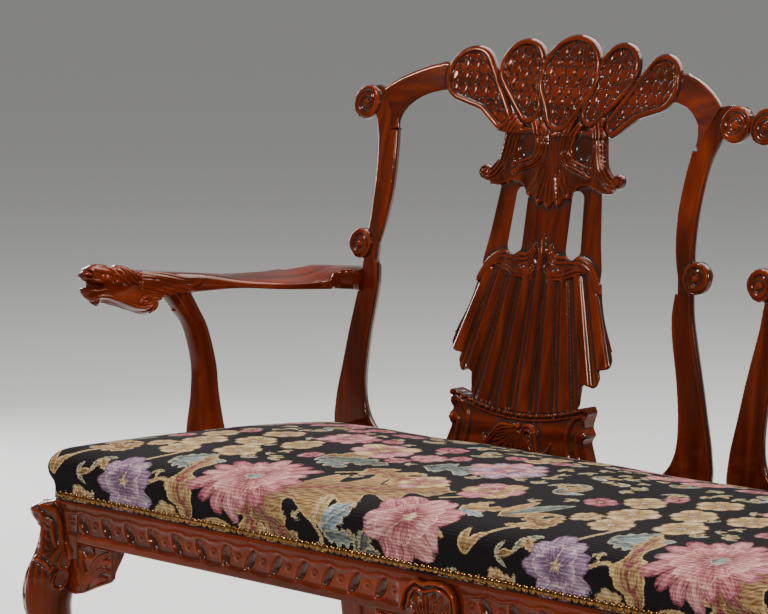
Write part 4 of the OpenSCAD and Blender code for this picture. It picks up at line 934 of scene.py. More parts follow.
def lobed_leaf(length, width, lobes=4, cut=.5):
    """An acanthus leaf along +x: lobes that lean forward, each with two small points."""
    t = np.linspace(0, 1, lobes * 8 + 1)
    envelope = np.sin(math.pi * np.clip(t * .92 + .08, 0, 1) ** .85) ** .7
    wave = (.5 + .5 * np.cos(2 * math.pi * t * lobes)) ** 1.5
    points = 1 + .12 * np.cos(2 * math.pi * t * lobes * 3)
    half = width / 2 * envelope * (1 - cut * wave) * points
    upper = np.stack([t * length + np.abs(half) * .35, half], 1)
    upper[0], upper[-1] = (0, 0), (length * 1.02, 0)
    return np.vstack([upper, (upper[1:-1] * (1, -1))[::-1]])


def simple_leaf(length, width):
    t = np.linspace(0, 1, 8)
    half = width / 2 * np.sin(math.pi * t) ** .8
    upper = np.stack([t * length, half + width * .18 * np.sin(math.pi * t)], 1)
    lower = np.stack([t * length, -half + width * .18 * np.sin(math.pi * t)], 1)
    return np.vstack([upper, lower[1:-1][::-1]])


def stem(points, width):
    line = spline(points, 5)
    return np.vstack([beside(line, width / 2), beside(line, -width / 2)[::-1]])


motifs = []


def weave(layer, outline, at, turn, colours, kind, size=1.0):
    """Adds one outline to the cloth: a place, a turn in degrees, two colours and how it is veined."""
    a = math.radians(turn)
    spin = np.array([[math.cos(a), math.sin(a)], [-math.sin(a), math.cos(a)]])
    motifs.append((LAYERS.index(layer), (outline * size) @ spin + at, np.array(at, float), spin,
                   np.ptp(outline, axis=0) * size, colours, kind))


PINKS = [("#7c2136", "#d27d88"), ("#8d3044", "#de9b9c"), ("#701b2e", "#c06474")]
CREAMS = [("#8f6a38", "#dcb680"), ("#9a7544", "#e4c796")]
MAUVES = [("#4f3457", "#a17da0"), ("#5d4064", "#b496b0")]
TANS = [("#6e4820", "#c2935a"), ("#5e3d1c", "#ab8048"), ("#7a5228", "#cba068")]
SLATES = [("#2c403f", "#728b87"), ("#31454b", "#83999b"), ("#233335", "#5c7371")]
BLUES = [("#4f6a77", "#a5bac0"), ("#5a7683", "#b5c7cc")]


def flower(at, size, petals, colours, rings=2, turn=0, heart=("#4c4a2c", "#b3a268")):
    """A round flower: one or two rings of petals, and a heart with a ring of seeds."""
    for ring in range(rings):
        layer, reach = (("petals", 1.0), ("hearts", .62))[ring]
        count = petals if ring == 0 else max(5, petals - 4)
        for k in range(count):
            length = size * reach * (1 + .09 * math.sin(k * 2.4 + size))
            weave(layer, petal(length, length * 4.5 / count + 2), at,
                  turn + 360 * (k + .5 * ring) / count, colours[(k + ring) % len(colours)], 1)
    weave("hearts", petal(size * .34, size * .34, 0) - (size * .17, 0), at, turn, heart, 2)


def spray(at, turn, count, length, colours, width=.42, spread=64, kind=3, lobed=True, layer="leaves"):
    """Leaves that fan out from one place."""
    for k in range(count):
        share = 0 if count == 1 else 2 * k / (count - 1) - 1
        size = length * (1 - .22 * abs(share))
        shape = lobed_leaf(size, size * width, 4) if lobed else simple_leaf(size, size * width * .7)
        weave(layer, shape, at, turn + spread * share, colours[k % len(colours)], kind)


# %% Layout of the flowers in one repeat
def rib(at, turn, length, width, colours, layer="petals"):
    """The coloured midrib of a leaf."""
    weave(layer, stem([(0, 0), (length * .5, width * .3), (length, 0)], width), at, turn, colours, 2)


def big_leaf(at, turn, length, width, colours, midrib=("#7c2438", "#a84e5e"), lobes=5):
    weave("leaves", lobed_leaf(length, width * 1.12, lobes, .68), at, turn, colours, 3)
    rib(at, turn, length * .82, 4.2, midrib)
    for side in (-1, 1):
        for k in (.15, .35, .55):
            step = np.array([math.cos(math.radians(turn)), math.sin(math.radians(turn))]) * length * k
            rib(np.add(at, step), turn + side * 38, width * .36, 3.0, midrib)


big_leaf((-292, -498), 26, 250, 118, TANS[0])
big_leaf((-290, -502), -84, 62, 44, TANS[2], lobes=3)
big_leaf((-284, -500), -38, 92, 52, TANS[1], lobes=3)
big_leaf((-392, -552), 106, 150, 44, TANS[2], lobes=2)
flower((-322, -458), 78, 17, [PINKS[0], PINKS[1], PINKS[0], PINKS[2]], heart=SLATES[1])
flower((-503, -512), 47, 8, MAUVES, turn=12, heart=CREAMS[0])
flower((-44, -486), 66, 6, [PINKS[0], PINKS[1]], turn=20, heart=CREAMS[1])
for at, size in (((-522, -352), 31), ((-466, -318), 30), ((-438, -372), 32), ((-402, -300), 28),
                 ((-508, -404), 29), ((-548, -300), 27), ((-476, -258), 27)):
    flower(at, size, 6, CREAMS, rings=1, turn=at[0], heart=SLATES[1])
spray((-470, -452), 20, 3, 74, [SLATES[1], BLUES[0]], .5, 34)
spray((-560, -452), 150, 3, 66, TANS, .45, 40)
spray((-632, -520), 80, 2, 50, [TANS[2]], .5, 20, lobed=False)
spray((-640, -440), 60, 3, 92, [TANS[0], SLATES[0], TANS[2]], .4, 30, lobed=False)
spray((-330, -338), 10, 3, 96, [SLATES[1], SLATES[2], TANS[1]], .5, 36)
flower((-388, -232), 40, 9, [PINKS[2], PINKS[1]], turn=30)
flower((-300, -262), 44, 7, [PINKS[1], CREAMS[1]], rings=1)
spray((-165, -522), 78, 2, 78, [BLUES[1], CREAMS[1]], .5, 24, lobed=False)
spray((-168, -528), 20, 2, 70, [SLATES[1], BLUES[0]], .55, 22)
spray((-112, -546), 60, 3, 42, [SLATES[2]], .6, 50)
spray((-10, -440), 30, 3, 60, [BLUES[1], TANS[0], CREAMS[0]], .45, 46)
flower((-128, -372), 34, 7, [CREAMS[1], PINKS[1]], rings=1, heart=PINKS[2])
flower((-36, -356), 42, 6, [PINKS[0], TANS[2]], turn=15, heart=CREAMS[1])
big_leaf((-240, -352), -14, 130, 62, TANS[2], lobes=4)
big_leaf((-200, -300), 12, 150, 60, SLATES[1], SLATES[2], lobes=4)
flower((-104, -256), 52, 10, [MAUVES[1], PINKS[1]], heart=CREAMS[0])
for path in ([(-405, -548), (-430, -500), (-462, -508)], [(-392, -552), (-350, -540), (-322, -545)],
             [(-170, -545), (-176, -520), (-190, -490)], [(20, -505), (-5, -490), (-20, -480)],
             [(-620, -500), (-590, -462), (-556, -452)], [(-500, -470), (-488, -430), (-492, -400)],
             [(-250, -395), (-230, -370), (-236, -350)], [(-60, -420), (-40, -395), (-36, -370)]):
    weave("leaves", stem(path, 5.5), (0, 0), 0, TANS[1], 4)

# %% Fill the rest of the cloth
random, taken = np.random.default_rng(7), []
spots = np.array([(-650 + 31 * column, -550 + 31 * row)
                  for row in range(19) for column in range(22)], float)
spots += random.uniform(-9, 9, spots.shape)
room = np.full(len(spots), 60.0)
for _, outline, *_ in motifs:
    for repeat in (-1, 0, 1):
        moved = outline + (repeat * REPEAT, 0)
        near = np.flatnonzero(np.all((spots > moved.min(0) - 60) & (spots < moved.max(0) + 60), axis=1))
        if len(near):
            room[near] = np.minimum(room[near], -depth_in(spots[near], moved))
for at, free in zip(spots, room):
    turn, kind = random.uniform(0, 360), random.integers(0, 6)
    for other, reach in taken:
        away = at - other
        away[0] = (away[0] + REPEAT / 2) % REPEAT - REPEAT / 2
        free = min(free, math.hypot(*away) - reach)
    if free < 10:
        continue
    size = min(free, 32)
    if kind < 2 or size < 14:
        spray(at, turn, 3, size * 1.5, [SLATES[kind % 3], TANS[kind % 3]], .5, 55, lobed=size > 18)
    elif kind < 4:
        flower(at, size, 4 + kind, [PINKS, CREAMS, MAUVES][kind - 2], 1 + (size > 24), turn)
    else:
        colours = [BLUES[kind - 4], TANS[kind - 3], SLATES[0]]
        spray(at, turn, 3, size * 1.5, colours, .5, 40, lobed=False)
    taken.append((at, size * .9))
print(len(motifs), "motifs in a repeat of", REPEAT, "mm")


# %% [markdown]
# ## Dyeing the points of the cloth
# Each layer leaves three values on a point: its depth in the nearest motif, that motif's colour there,
# and the place along the motif in millimetres, which the finish uses to draw threads along it.
# %% Values on the cloth's points
def dye(q):
    found = {}
    for number, layer in enumerate(LAYERS):
        best, second = np.full(len(q), -9.0), np.full(len(q), -9.0)
        colour, local = np.zeros((len(q), 3)), np.zeros((len(q), 3))
        for where, outline, root, spin, span, colours, kind in motifs:
            if where != number:
                continue
            for repeat in (-1, 0, 1, 2):
                moved = outline + (repeat * REPEAT, 0)
                if moved[:, 0].max() < q[:, 0].min() or moved[:, 0].min() > q[:, 0].max():
                    continue
                near = np.flatnonzero(np.all((q > moved.min(0) - 7) & (q < moved.max(0) + 7), axis=1))
                if not len(near):
                    continue
                depth = depth_in(q[near], moved)
                wins = depth > best[near]
                second[near] = np.maximum(second[near], np.minimum(best[near], depth))
                k = near[wins]
                best[k] = depth[wins]
                place = (q[k] - root - (repeat * REPEAT, 0)) @ spin.T
                u, v = (place / np.maximum(span, 1)).T
                out, side = place.T
                veins = np.cos((out - np.abs(side)) / 2.6)
                share = {1: smooth(u * 1.25 - .12) * (.72 + .28 * np.cos(side / 2.2)),
                         2: .5 + .5 * np.sin(out / 3),
                         3: .12 + .55 * smooth(np.abs(v) * 2.2) + .22 * veins,
                         4: .5 + 0 * u}[kind]
                a, b = (np.array(linear(c)[:3]) for c in colours)
                colour[k] = a + (b - a) * share[:, None]
                local[k, :2] = place
        found[layer] = (np.minimum(best, np.maximum(best - second, .05) - .35 * (second > 0)), colour,
                        local * MM)
    return found


# %% [markdown]
# ## Wool tapestry
# Tapestry for seats is a thick ribbed weave of wool: weft threads packed so closely that only they
# show, over ribs about 1.6 mm apart, drawn here at 2.4 mm. The weaver steps from colour to colour
# thread by thread, so every edge is slightly ragged and the shades run into each other in hatches.
# %% Tapestry finish
tree, shader = start("woven_wool_tapestry")
flat = attribute(tree, "flat", "Vector")
ribs = add(tree, "ShaderNodeTexWave", {"Vector": flat}, bands_direction="Y",
           Scale=1000 / 2.4 / 6.2832, Distortion=0.4).outputs[1]
stitches = noise(tree, flat, detail=1.0, stretch=(300, 900, 1))
ragged = maths(tree, "MULTIPLY", maths(tree, "SUBTRACT", stitches, .5), 5.5)
colour = mix(tree, stitches, "#0a0808", "#1d1618")
# leaves are edged in a light thread, petals are parted by a dark one
EDGES = {"leaves": (1.7, "#cdb482"), "petals": (1.7, "#3c171c"), "hearts": (1.5, "#dcb9a0")}
for layer in LAYERS:
    depth = maths(tree, "ADD", attribute(tree, layer + "_depth", "Fac"), ragged)
    threads = noise(tree, attribute(tree, layer + "_place", "Vector"), 1.0, 3.0, .6, (60, 420, 1))
    dyed = attribute(tree, layer + "_colour", "Color")
    shaded = mix(tree, ramp(tree, threads, (.40, "#000000"), (.60, "#ffffff")),
                 mix(tree, .45, dyed, "#2a1a18"), mix(tree, .16, dyed, "#e2d2ae"))
    width, edge = EDGES[layer]
    shaded = mix(tree, maths(tree, "LESS_THAN", depth, width), shaded, mix(tree, .55, dyed, edge))
    colour = mix(tree, maths(tree, "MULTIPLY", depth, 3.0, clamp=True), colour, shaded)
# the grooves between the ribs are darkened as painted shade
shade_between_ribs = maths(tree, "MULTIPLY", maths(tree, "SUBTRACT", 1.0, ribs), .38)
fill(tree, shader, {"Base Color": mix(tree, shade_between_ribs, colour, "#0c0909"), "Roughness": .95,
                    "Normal": bumped(tree, maths(tree, "ADD", ribs, stitches), .5, .0006),
                    "Sheen Weight": .015, "Sheen Roughness": .6, "Specular IOR Level": .06})

# %% The cover
q, cells, number = net_of(cloth_inside, (-720, -560), (720, 10), 3.3)
outer = cloth_space(q)
inner_q, inner_cells, _ = net_of(cloth_inside, (-720, -560), (720, 10), 13.0)
inner = cloth_space(inner_q, -COVER_T)
cover_form = {"points": np.vstack([outer, inner]),
              "faces": cells + [[i + len(q) for i in reversed(cell)] for cell in inner_cells]}
cover = put(cover_form, "seat_cover_tapestry", "woven_wool_tapestry", "seat_cover", "x",
            sharp=80)
bm = bmesh.new()
bm.from_mesh(cover.data)
bmesh.ops.bridge_loops(bm, edges=[e for e in bm.edges if e.is_boundary])
bmesh.ops.recalc_face_normals(bm, faces=bm.faces)
bm.to_mesh(cover.data)
bm.free()
cloth_points = np.vstack([q, inner_q])
values = {"flat": np.pad(cloth_points, ((0, 0), (0, 1))) * MM}
for layer, (depth, dyed, place) in dye(cloth_points).items():
    values.update({layer + "_depth": depth, layer + "_place": place,
                   layer + "_colour": np.pad(dyed, ((0, 0), (0, 1)), constant_values=1)})
for name, value in values.items():
    kind, field = {1: ("FLOAT", "value"), 3: ("FLOAT_VECTOR", "vector"),
                   4: ("FLOAT_COLOR", "color")}[1 if value.ndim == 1 else value.shape[1]]
    cover.data.attributes.new(name, kind, "POINT").data.foreach_set(field, value.ravel())
print("cover has", len(cover.data.polygons), "faces")


# %% [markdown]
# ## Seat rails
# Along the front and the ends runs a carved frieze: deep slanting ovals with a fine rim, a small ring
# between each two, and a wavy edge above and below. The ovals lean towards the middle of each run, and
# the middle one stands upright. The front rail is made as one half and its mirror image.
# %% Seat rails
RAIL_LOW, BAND_Z, REBATE, RAIL_THICK = LEG_H, 427.0, 2.8, 30.0
OVAL_Z, COVE_TOP = 399.6, 422.0
SUPPORT_Y = -207.8
# middle of a run of ovals, their number and their pitch
FRONT_RUN, SIDE_RUN = (HALF_PITCH, 13, 42.2), (-219.8, 9, 43.9)


def frieze(run, z, middle, count, pitch):
    """Height of the carved frieze over a rail's face; run and z are in mm."""
    first = middle - pitch * (count - 1) / 2
    k = np.clip(np.round((run - first) / pitch), 0, count - 1)
    x = run - first - k * pitch
    lean = np.sign((count - 1) / 2 - k) * math.tan(math.radians(24))
    near_end = smooth((count * pitch / 2 + 9 - np.abs(run - middle)) / 9)
    top = 413.2 + 1.9 * np.cos(2 * math.pi * x / pitch)
    low = 385.2 + 0.9 * np.cos(2 * math.pi * x / pitch)
    h = -2.2 * smooth((top - z) / 1.6) * smooth((z - low) / 3.6) * near_end
    oval = np.hypot((x + (z - OVAL_Z) * lean) / 7.4, (z - OVAL_Z) / 11.7)
    h += 0.9 * hill(oval - 1.2, .11) - 0.5 * hill(oval - 1.02, .06) - 5.2 * dome(oval)
    h += 1.3 * hill(oval - .62, .1) * (x > 0) * (oval < 1)
    ring = np.hypot(np.abs(x) - pitch / 2, z - 400)
    there = np.abs(run - middle) < count * pitch / 2 + 6
    h += there * 1.3 * (hill(ring - 3.3, .9) - hill(ring, 1.5))
    h -= 0.7 * np.sin(math.pi * np.clip((z - top) / (COVE_TOP - top), 0, 1))
    h += 0.25 * np.sin(run / 19 + 2) * hill(z - 421, 2)
    return np.minimum(h, 0) - REBATE * smooth((z - COVE_TOP) / 4.5) * (z > COVE_TOP)


def rail_inside(x0, x1):
    return lambda p: depth_in_box(p, (x0, RAIL_LOW), (x1, RAIL_TOP))


def front_face(p, depth):
    lip = rolled(p[:, 1] - RAIL_LOW, 1.5)
    return frieze(p[:, 0], p[:, 1], *FRONT_RUN) - lip


def flat_back(thickness):
    return lambda p, depth: np.full(len(p), -thickness)


def front_space(x, z, out):
    return np.stack([x, FRONT_Y - out, z], 1)


POST_IN = FRAME_X - POST_W
half = relief(rail_inside(0, POST_IN), front_face, flat_back(RAIL_THICK), front_space,
              (0, RAIL_LOW), (POST_IN, RAIL_TOP), 1.4, 2.6)
put_wood(joined(half, mirror_image(half)), "front_rail", "x")


def side_face(p, depth):
    h = frieze(p[:, 0], p[:, 1], *SIDE_RUN)
    foot = smooth((np.abs(p[:, 0] - SUPPORT_Y) - 37) / 5)
    return np.where(p[:, 1] < BAND_Z - 5, h * foot, h) - rolled(p[:, 1] - RAIL_LOW, 1.5)


def side_space(y, z, out):
    return np.stack([FRAME_X + out, y, z], 1)


side_rail = relief(rail_inside(FRONT_Y + POST_W, 0), side_face, flat_back(RAIL_THICK), side_space,
                   (FRONT_Y + POST_W, RAIL_LOW), (0, RAIL_TOP), 1.4, 2.6)
put_pair(side_rail, "side_rail", "y")

# %% [markdown]
# ## The tablet over the middle leg
# A low arched tablet is planted on the front rail where the middle leg stands behind it. Two ribs
# follow its edge, the inner one scalloped, and leaf folds rise from below between them.
# %% The tablet
TABLET = [(-27, 376), (-43.6, 384), (-43, 396), (-38.5, 408), (-30, 416.5), (-19, 422.3),
          (-10, 419.5), (3, 422.6), (17, 422.5), (28.6, 420), (37, 413.5), (42, 404), (43.7, 392),
          (43, 383), (27, 376)]
# place, top, half width and tilt of each fold of the leaf
FOLDS = [(-30, 401, 5, -5), (-20, 409, 5.4, -5), (-8, 411, 5.6, -2), (4, 414, 5.8, 1),
         (15, 411, 5.4, 4), (25, 402, 5, 6)]
BERRIES = [(-14, 395), (9, 396), (-25, 388), (19, 389)]
tablet_edge = spline(TABLET, 4)


def tablet_face(p, depth):
    h = 2.5 - rolled(depth, 2.5)
    arch = tablet_edge[4:-4]
    h = np.maximum(h, stroke(p, beside(arch, -3.6), [3.4], [8.8], steps=1) * (depth > 0))
    scallop = 10.5 + 1.5 * np.abs(np.sin(np.arange(len(arch)) / 4.2))
    h = laid(h, p, [(beside(arch, -scallop), [2.6], [6.6])], steps=1)
    folds = [([(x * .55, 376), (x * .9, (376 + top) / 2), (x + tilt, top)],
              [2.5, width, width * .9, 1.5], [5, 6.5, 6, 2.5]) for x, top, width, tilt in FOLDS]
    h = laid(h, p, folds, vein_shape)
    return np.max([h] + [6 * hill(far(p, *place), 2.4) for place in BERRIES], axis=0)


tablet = relief(lambda p: depth_in(p, tablet_edge), tablet_face, flat_back(0), front_space,
                (-45, 375), (45, 424), 1.0)
put_wood(tablet, "middle_cartouche", "x")

# %% [markdown]
# ## Knee brackets
# A bracket fills the corner between a leg and its rail. Its face carries acanthus: two long ribs run
# out of the lower corner and fork upwards, with a hollow between them and a C-scroll at the leg.
# %% Knee brackets
BRACKET = [(62, 0), (62, 36), (55, 42.5), (43, 47), (31, 51.5), (18, 57), (6.4, 62),
           (-8, 65.4), (-25, 64), (-25, 0)]
# leaf ribs and how high each rises, from the lowest to the one on top
RIBS = [([(61, -16), (48, -18), (36, -26), (24, -38)], 2.6), ([(50, -38), (38, -40), (24, -50)], 2.4),
        ([(-12, -16), (-7, -27), (-1, -36), (-1, -50)], 3.2),
        ([(-4, -4), (3, -12), (5, -25), (9, -36), (10, -46), (5, -58)], 3.9),
        ([(60, -29), (42, -28), (27, -38), (14, -50), (7, -60)], 3.6),
        ([(60, -5), (45, -11), (29, -23), (17, -39), (8, -55)], 4.3)]
GROUND = -4.4
bracket_edge = np.array(BRACKET) * (1, -1)
low_edge = bracket_edge[-2:0:-1]


def bracket_inside(p):
    # the inner end runs into the leg
    return np.minimum(depth_in(p, bracket_edge), p[:, 0] + 24.7)


def bracket_face(p, depth):
    h = np.full(len(p), GROUND)
    for way, rise in RIBS:
        rib = stroke(p, way, [2.4, 4, 4.6, 4.2, 3.2], [rise - 1, rise, rise, rise - .8], vein_shape)
        h = np.maximum(h, np.where(rib > 0, rib + GROUND, -9))
    # a plain fillet follows the rail, and a finer one the lower edge
    h = np.maximum(h, -1.2 - rolled(-p[:, 1], 3) - 9 * (p[:, 1] < -3.2))
    h = np.maximum(h, -2.2 - 9 * (depth > 2.4))
    h -= 3 * dome(far(p, 17, -9, 12, 7.5)) * (h < -4)
    return h - rolled(depth, 1.6) * .8


def bracket_back(p, depth):
    """The back is bevelled, so that the lower edge is thin."""
    return -8 - 16 * smooth((p[:, 1] - np.interp(p[:, 0], *low_edge.T)) / 34)


def bracket_at(space):
    return relief(bracket_inside, bracket_face, bracket_back, space, (-26, -66), (63, 0), 1.0, 2.2)


front_bracket, middle_bracket = (bracket_at(lambda x, z, out: front_space(start_x + x, LEG_H + z, out))
                                 for start_x in (-POST_IN, POST_W / 2))
side_bracket = bracket_at(lambda y, z, out: side_space(FRONT_Y + POST_W + y, LEG_H + z, out))
for side, mirrored in (("left", False), ("right", True)):
    put_wood(front_bracket, f"bracket_{side}_front", "x", mirrored)
    put_wood(side_bracket, f"bracket_{side}_side", "y", not mirrored)
    put_wood(middle_bracket, f"bracket_middle_{side}", "x", not mirrored)

# %% [markdown]
# ## Shoes
# Each splat stands in a shoe that is pinned to the rear rail. A string of beads and darts sags along
# its top, C-scrolls hold its ends, and a spray of leaves is carved on its hollow face.
# %% Shoes
SHOE = [(.364, 0), (.364, .022), (.35, .045), (.338, .067), (.352, .085), (.338, .1), (.342, .118),
        (.351, .137), (.341, .151)]
SHOE_W, SHOE_SAG, SHOE_END, SHOE_T = 109.6, 18.3, 523.9, 17.5
SAG_HALF = 114.5
BEAD_PITCH = 10.4
END_SCROLLS = [([(.335, .128), (.29, .122), (.262, .1), (.252, .07), (.262, .035), (.29, .01)],
                [2.4, 3.6, 3.6, 2.52], [3.4, 3.4, 2.04]),
               ([(.325, .094), (.308, .082), (.305, .06), (.315, .03), (.345, .008)],
                [2.4, 3.4, 3.4, 2.38], [3.0, 3.0, 1.8])]
# the spray is drawn for the left back and mirrored with it
SPRAY = [([(-.02, .082), (-.08, .078), (-.12, .055), (-.155, .034), (-.17, .05)],
          [3, 6, 5, 4, 3], [4, 5.6, 5, 5, 4]),
         ([(.03, .06), (.05, .083), (.085, .078), (.1, .045), (.115, .026), (.15, .03), (.175, .053)],
          [3, 6, 7, 6, 4, 3, 1.5], [4, 6.5, 7, 6, 5, 4, 2])]
for k in range(9):
    a = math.radians(200 + k * 15)
    tip_x, tip_z = -.005 + .15 * math.cos(a), .074 + .058 * math.sin(a)
    SPRAY.append(([(0, .076), (tip_x * .55, .07 + (tip_z - .074) * .45), (tip_x, tip_z)],
                  [1.5, 3.8, 4.2, 1.4], [3.5, 4.6, 4, 1.5]))
shoe_side = on_back(spline(SHOE, 4))
sag_x = np.linspace(-SAG_HALF, SAG_HALF, 25)
sag_line = np.stack([sag_x, SHOE_END - SHOE_SAG * (1 - (sag_x / SHOE_W) ** 2)], 1)
sag_top = sag_line + np.stack([0 * sag_x, 4.2 * np.sqrt(1 - (sag_x / 114.6) ** 6)], 1)
shoe_outline = np.vstack([shoe_side, sag_top[-2:0:-1], (shoe_side * (-1, 1))[::-1]])


def shoe_face(p, depth):
    q = folded(p)
    d, share, _ = along(p, sag_line)
    # a hollow face between the moulding and the foot
    h = -3.5 * np.sin(math.pi * np.clip((RAIL_TOP + 62 - p[:, 1]) / 62, 0, 1)) - rolled(depth, 1.5)
    h = np.maximum(h, np.where(d < 4.2, 3.2 * dome(d / 4.2) - 1, -9))
    place = share * 2 * SAG_HALF / BEAD_PITCH
    bead = np.hypot((place - np.round(place)) * BEAD_PITCH / 4.4, d / 3.4)
    h = np.where(d < 4.2, np.maximum(h - 1.6, 3.6 * dome(bead)), h)
    h = laid(h, p, [(beside(sag_line, gap), [1.7], [2.6]) for gap in (-5.6, 5.4)], steps=1)
    h = laid(h, q, END_SCROLLS, drawn=on_back)
    # the knobs at the ends: place, radius, rise and depth of the ring in it
    for at, r, rise, ring in (((.343, .146), 6, 5, 0), ((.338, .122), 6.5, 4.4, 1.2),
                              ((.338, .084), 8.5, 4.4, 1.2)):
        e = far_on_back(q, at)
        h = np.where(e < r, np.maximum(h, rise * dome(e / r) - ring * hill(e - r * .55, 1)), h)
    h = laid(h, p, SPRAY, vein_shape, drawn=on_back)
    return np.maximum(h, 6.5 * dome(far_on_back(p, (.01, .085)) / 5))


def shoe_space(x, z, out):
    lean = math.tan(SPLAT_RAKE) * .6
    return np.stack([x, 7 + np.minimum(z - RAIL_TOP, 70) * lean - out, z], 1)


shoe = relief(lambda p: depth_in(p, shoe_outline), shoe_face, flat_back(SHOE_T), shoe_space,
              (-124, RAIL_TOP), (124, SHOE_END + 6), 1.0)
put_pair(shoe, "shoe", "x", False, -HALF_PITCH)

# %% [markdown]
# ## Limbs
# Legs, arms and supports are shaped in the round, so they are built from rings of points along the
# limb, which carving then pushes out or in along the surface. The same small builder serves them all.
# %% Rings and limbs
def oval_ring(centre, across, up, power=2.5, count=72):
    """A ring between an ellipse (power 2) and a rectangle (high power), with its two half axes."""
    turn = np.arange(count) * 2 * math.pi / count
    c, s = np.cos(turn), np.sin(turn)
    x = np.sign(c) * np.abs(c) ** (2 / power)
    y = np.sign(s) * np.abs(s) ** (2 / power)
    return np.array(centre) + x[:, None] * across + y[:, None] * up


def limb(rings, carve=None, wear_and_shade_scale=1.4):
    """A closed form from rings of points, carved by carve(points, outward) in mm."""
    rings = np.array(rings, float)
    rows, count = rings.shape[:2]
    around = np.roll(rings, -1, 1) - np.roll(rings, 1, 1)
    outward = np.cross(around, np.gradient(rings, axis=0))
    outward /= np.maximum(np.linalg.norm(outward, axis=2), 1e-9)[..., None]
    middle = rings.mean(1)
    if np.einsum("ijk,ijk->", outward, rings - middle[:, None]) < 0:
        outward = -outward
    hump = np.zeros((rows, count))
    if carve:
        hump = carve(rings.reshape(-1, 3), outward.reshape(-1, 3)).reshape(rows, count)
    points = (rings + outward * hump[..., None]).reshape(-1, 3)
    soft = hump
    for _ in range(8):
        pad = np.vstack([soft[:1], soft, soft[-1:]])
        soft = (pad[:-2] + pad[2:] + np.roll(soft, 1, 1) + np.roll(soft, -1, 1) + soft) / 5
    i = np.arange(rows * count).reshape(rows, count)
    j = np.roll(i, -1, 1)
    faces = np.stack([i[:-1], j[:-1], j[1:], i[1:]], -1).reshape(-1, 4).tolist()
    ends = np.array([rings[0].mean(0), rings[-1].mean(0)])
    first, last = rows * count, rows * count + 1
    faces += [[first, b, a] for a, b in zip(i[0], j[0])] + [[last, a, b] for a, b in zip(i[-1], j[-1])]
    # how far a place stands out: the finish lightens the rubbed heights and darkens the hollows, partly
    # as painted shade
    wear_and_shade = np.concatenate([np.clip((hump - soft).ravel() / wear_and_shade_scale, -1, 1), [0, 0]])
    points = np.vstack([points, ends])
    a, b, c = (points[[f[k] for f in faces]] for k in (0, 1, 2))
    if np.einsum("ij,ij->", np.cross(b - a, c - a), a - points.mean(0)) < 0:
        faces = [f[::-1] for f in faces]
    return {"points": points, "faces": faces, "wear_and_shade": wear_and_shade}

# %% [markdown]
# ## Front legs
# The front legs are cabriole legs: a carved knee, a slim shin and a claw that grips a ball. A leg is a
# stack of level rings, each found by looking outwards from the leg's middle for the last point that
# lies inside the block, the knee or the ball. The ornament of the knee is drawn in profile, as the
# photograph shows the left leg, and serves both sides of it.
# %% Front legs: the plain shape
KNEE_OUT, BALL_R, BALL_U = 72.0, 29.0, 14.4
BALL_Z = BALL_R - 1.16
# rows: height, reach to the front and the back, half width; shares of LEG_H, KNEE_OUT and POST_W
LEG = np.array([
    (.105, .38, -.16, .40), (.15, .32, -.18, .33), (.20, .25, -.18, .29), (.24, .21, -.19, .28),
    (.32, .25, -.18, .29), (.425, .375, -.11, .33), (.53, .555, 0, .39), (.638, .76, .09, .45),
    (.73, .93, .14, .49), (.79, 1, .14, .51), (.845, .985, .05, .52), (.896, .91, -.08, .51),
    (.945, .79, -.24, .49), (1, .70, -.36, .46), (1.035, .68, -.36, .43), (1.06, .76, -.33, .38),
    (1.085, .835, -.30, .35), (1.13, .84, -.30, .34)])
leg_rows = spline(LEG, 6)
# rows: height over the ball's middle, reach and half width, in shares of the ball's radius
TALON = np.array([
    (-.80, 0, .04), (-.68, .81, .07), (-.5, 1.05, .14), (-.34, 1.14, .15), (-.18, 1.25, .2),
    (0, 1.19, .16), (.16, 1.22, .16), (.34, 1.18, .17), (.5, 1.2, .22), (.66, 1.05, .17),
    (.8, .94, .17), (1.01, .71, .2), (1.04, .3, .16)])
# half diagonal of a corner leg's block, and the middle of its round corner
BLOCK_R, HUB_U = 38.9, 10.6


def leg_inside(u, t, z, corner):
    front, back, wide = (np.interp(z / LEG_H, leg_rows[:, 0], leg_rows[:, k]) for k in (1, 2, 3))
    top, curl = (LEG_H * 1.09, 14) if corner else (LEG_H, 6)
    shrink = np.sqrt(np.clip(1 - (np.maximum(z - top, 0) / curl) ** 2, 1e-4, 1))
    a, c = (front - back) / 2 * KNEE_OUT, (front + back) / 2 * KNEE_OUT
    knee = 1 - (np.abs((u - c) / (a * shrink)) ** 2.4 + np.abs(t / (wide * POST_W * shrink)) ** 2.4)
    knee = np.where((z > LEG_H * .105) & (z < top + (curl if corner else .01)), knee, -1)
    ball = 1 - ((u - BALL_U) ** 2 + t**2 + (z - BALL_Z) ** 2) / BALL_R**2
    if corner:
        block = 1 - (np.abs(u) + np.abs(t)) / BLOCK_R
        # above the frieze the block is rounded as the seat is
        ahead = (z > COVE_TOP + .5) & (u - HUB_U > np.abs(t))
        block = np.where(ahead, np.minimum(block, 1 - np.hypot(u - HUB_U, t) / CORNER), block)
    else:
        block = np.minimum(1 - np.abs(u + 15) / 12.5, 1 - np.abs(t) / 27.5)
    return np.max([knee, ball, np.where(z >= 355, block, -1)], axis=0)


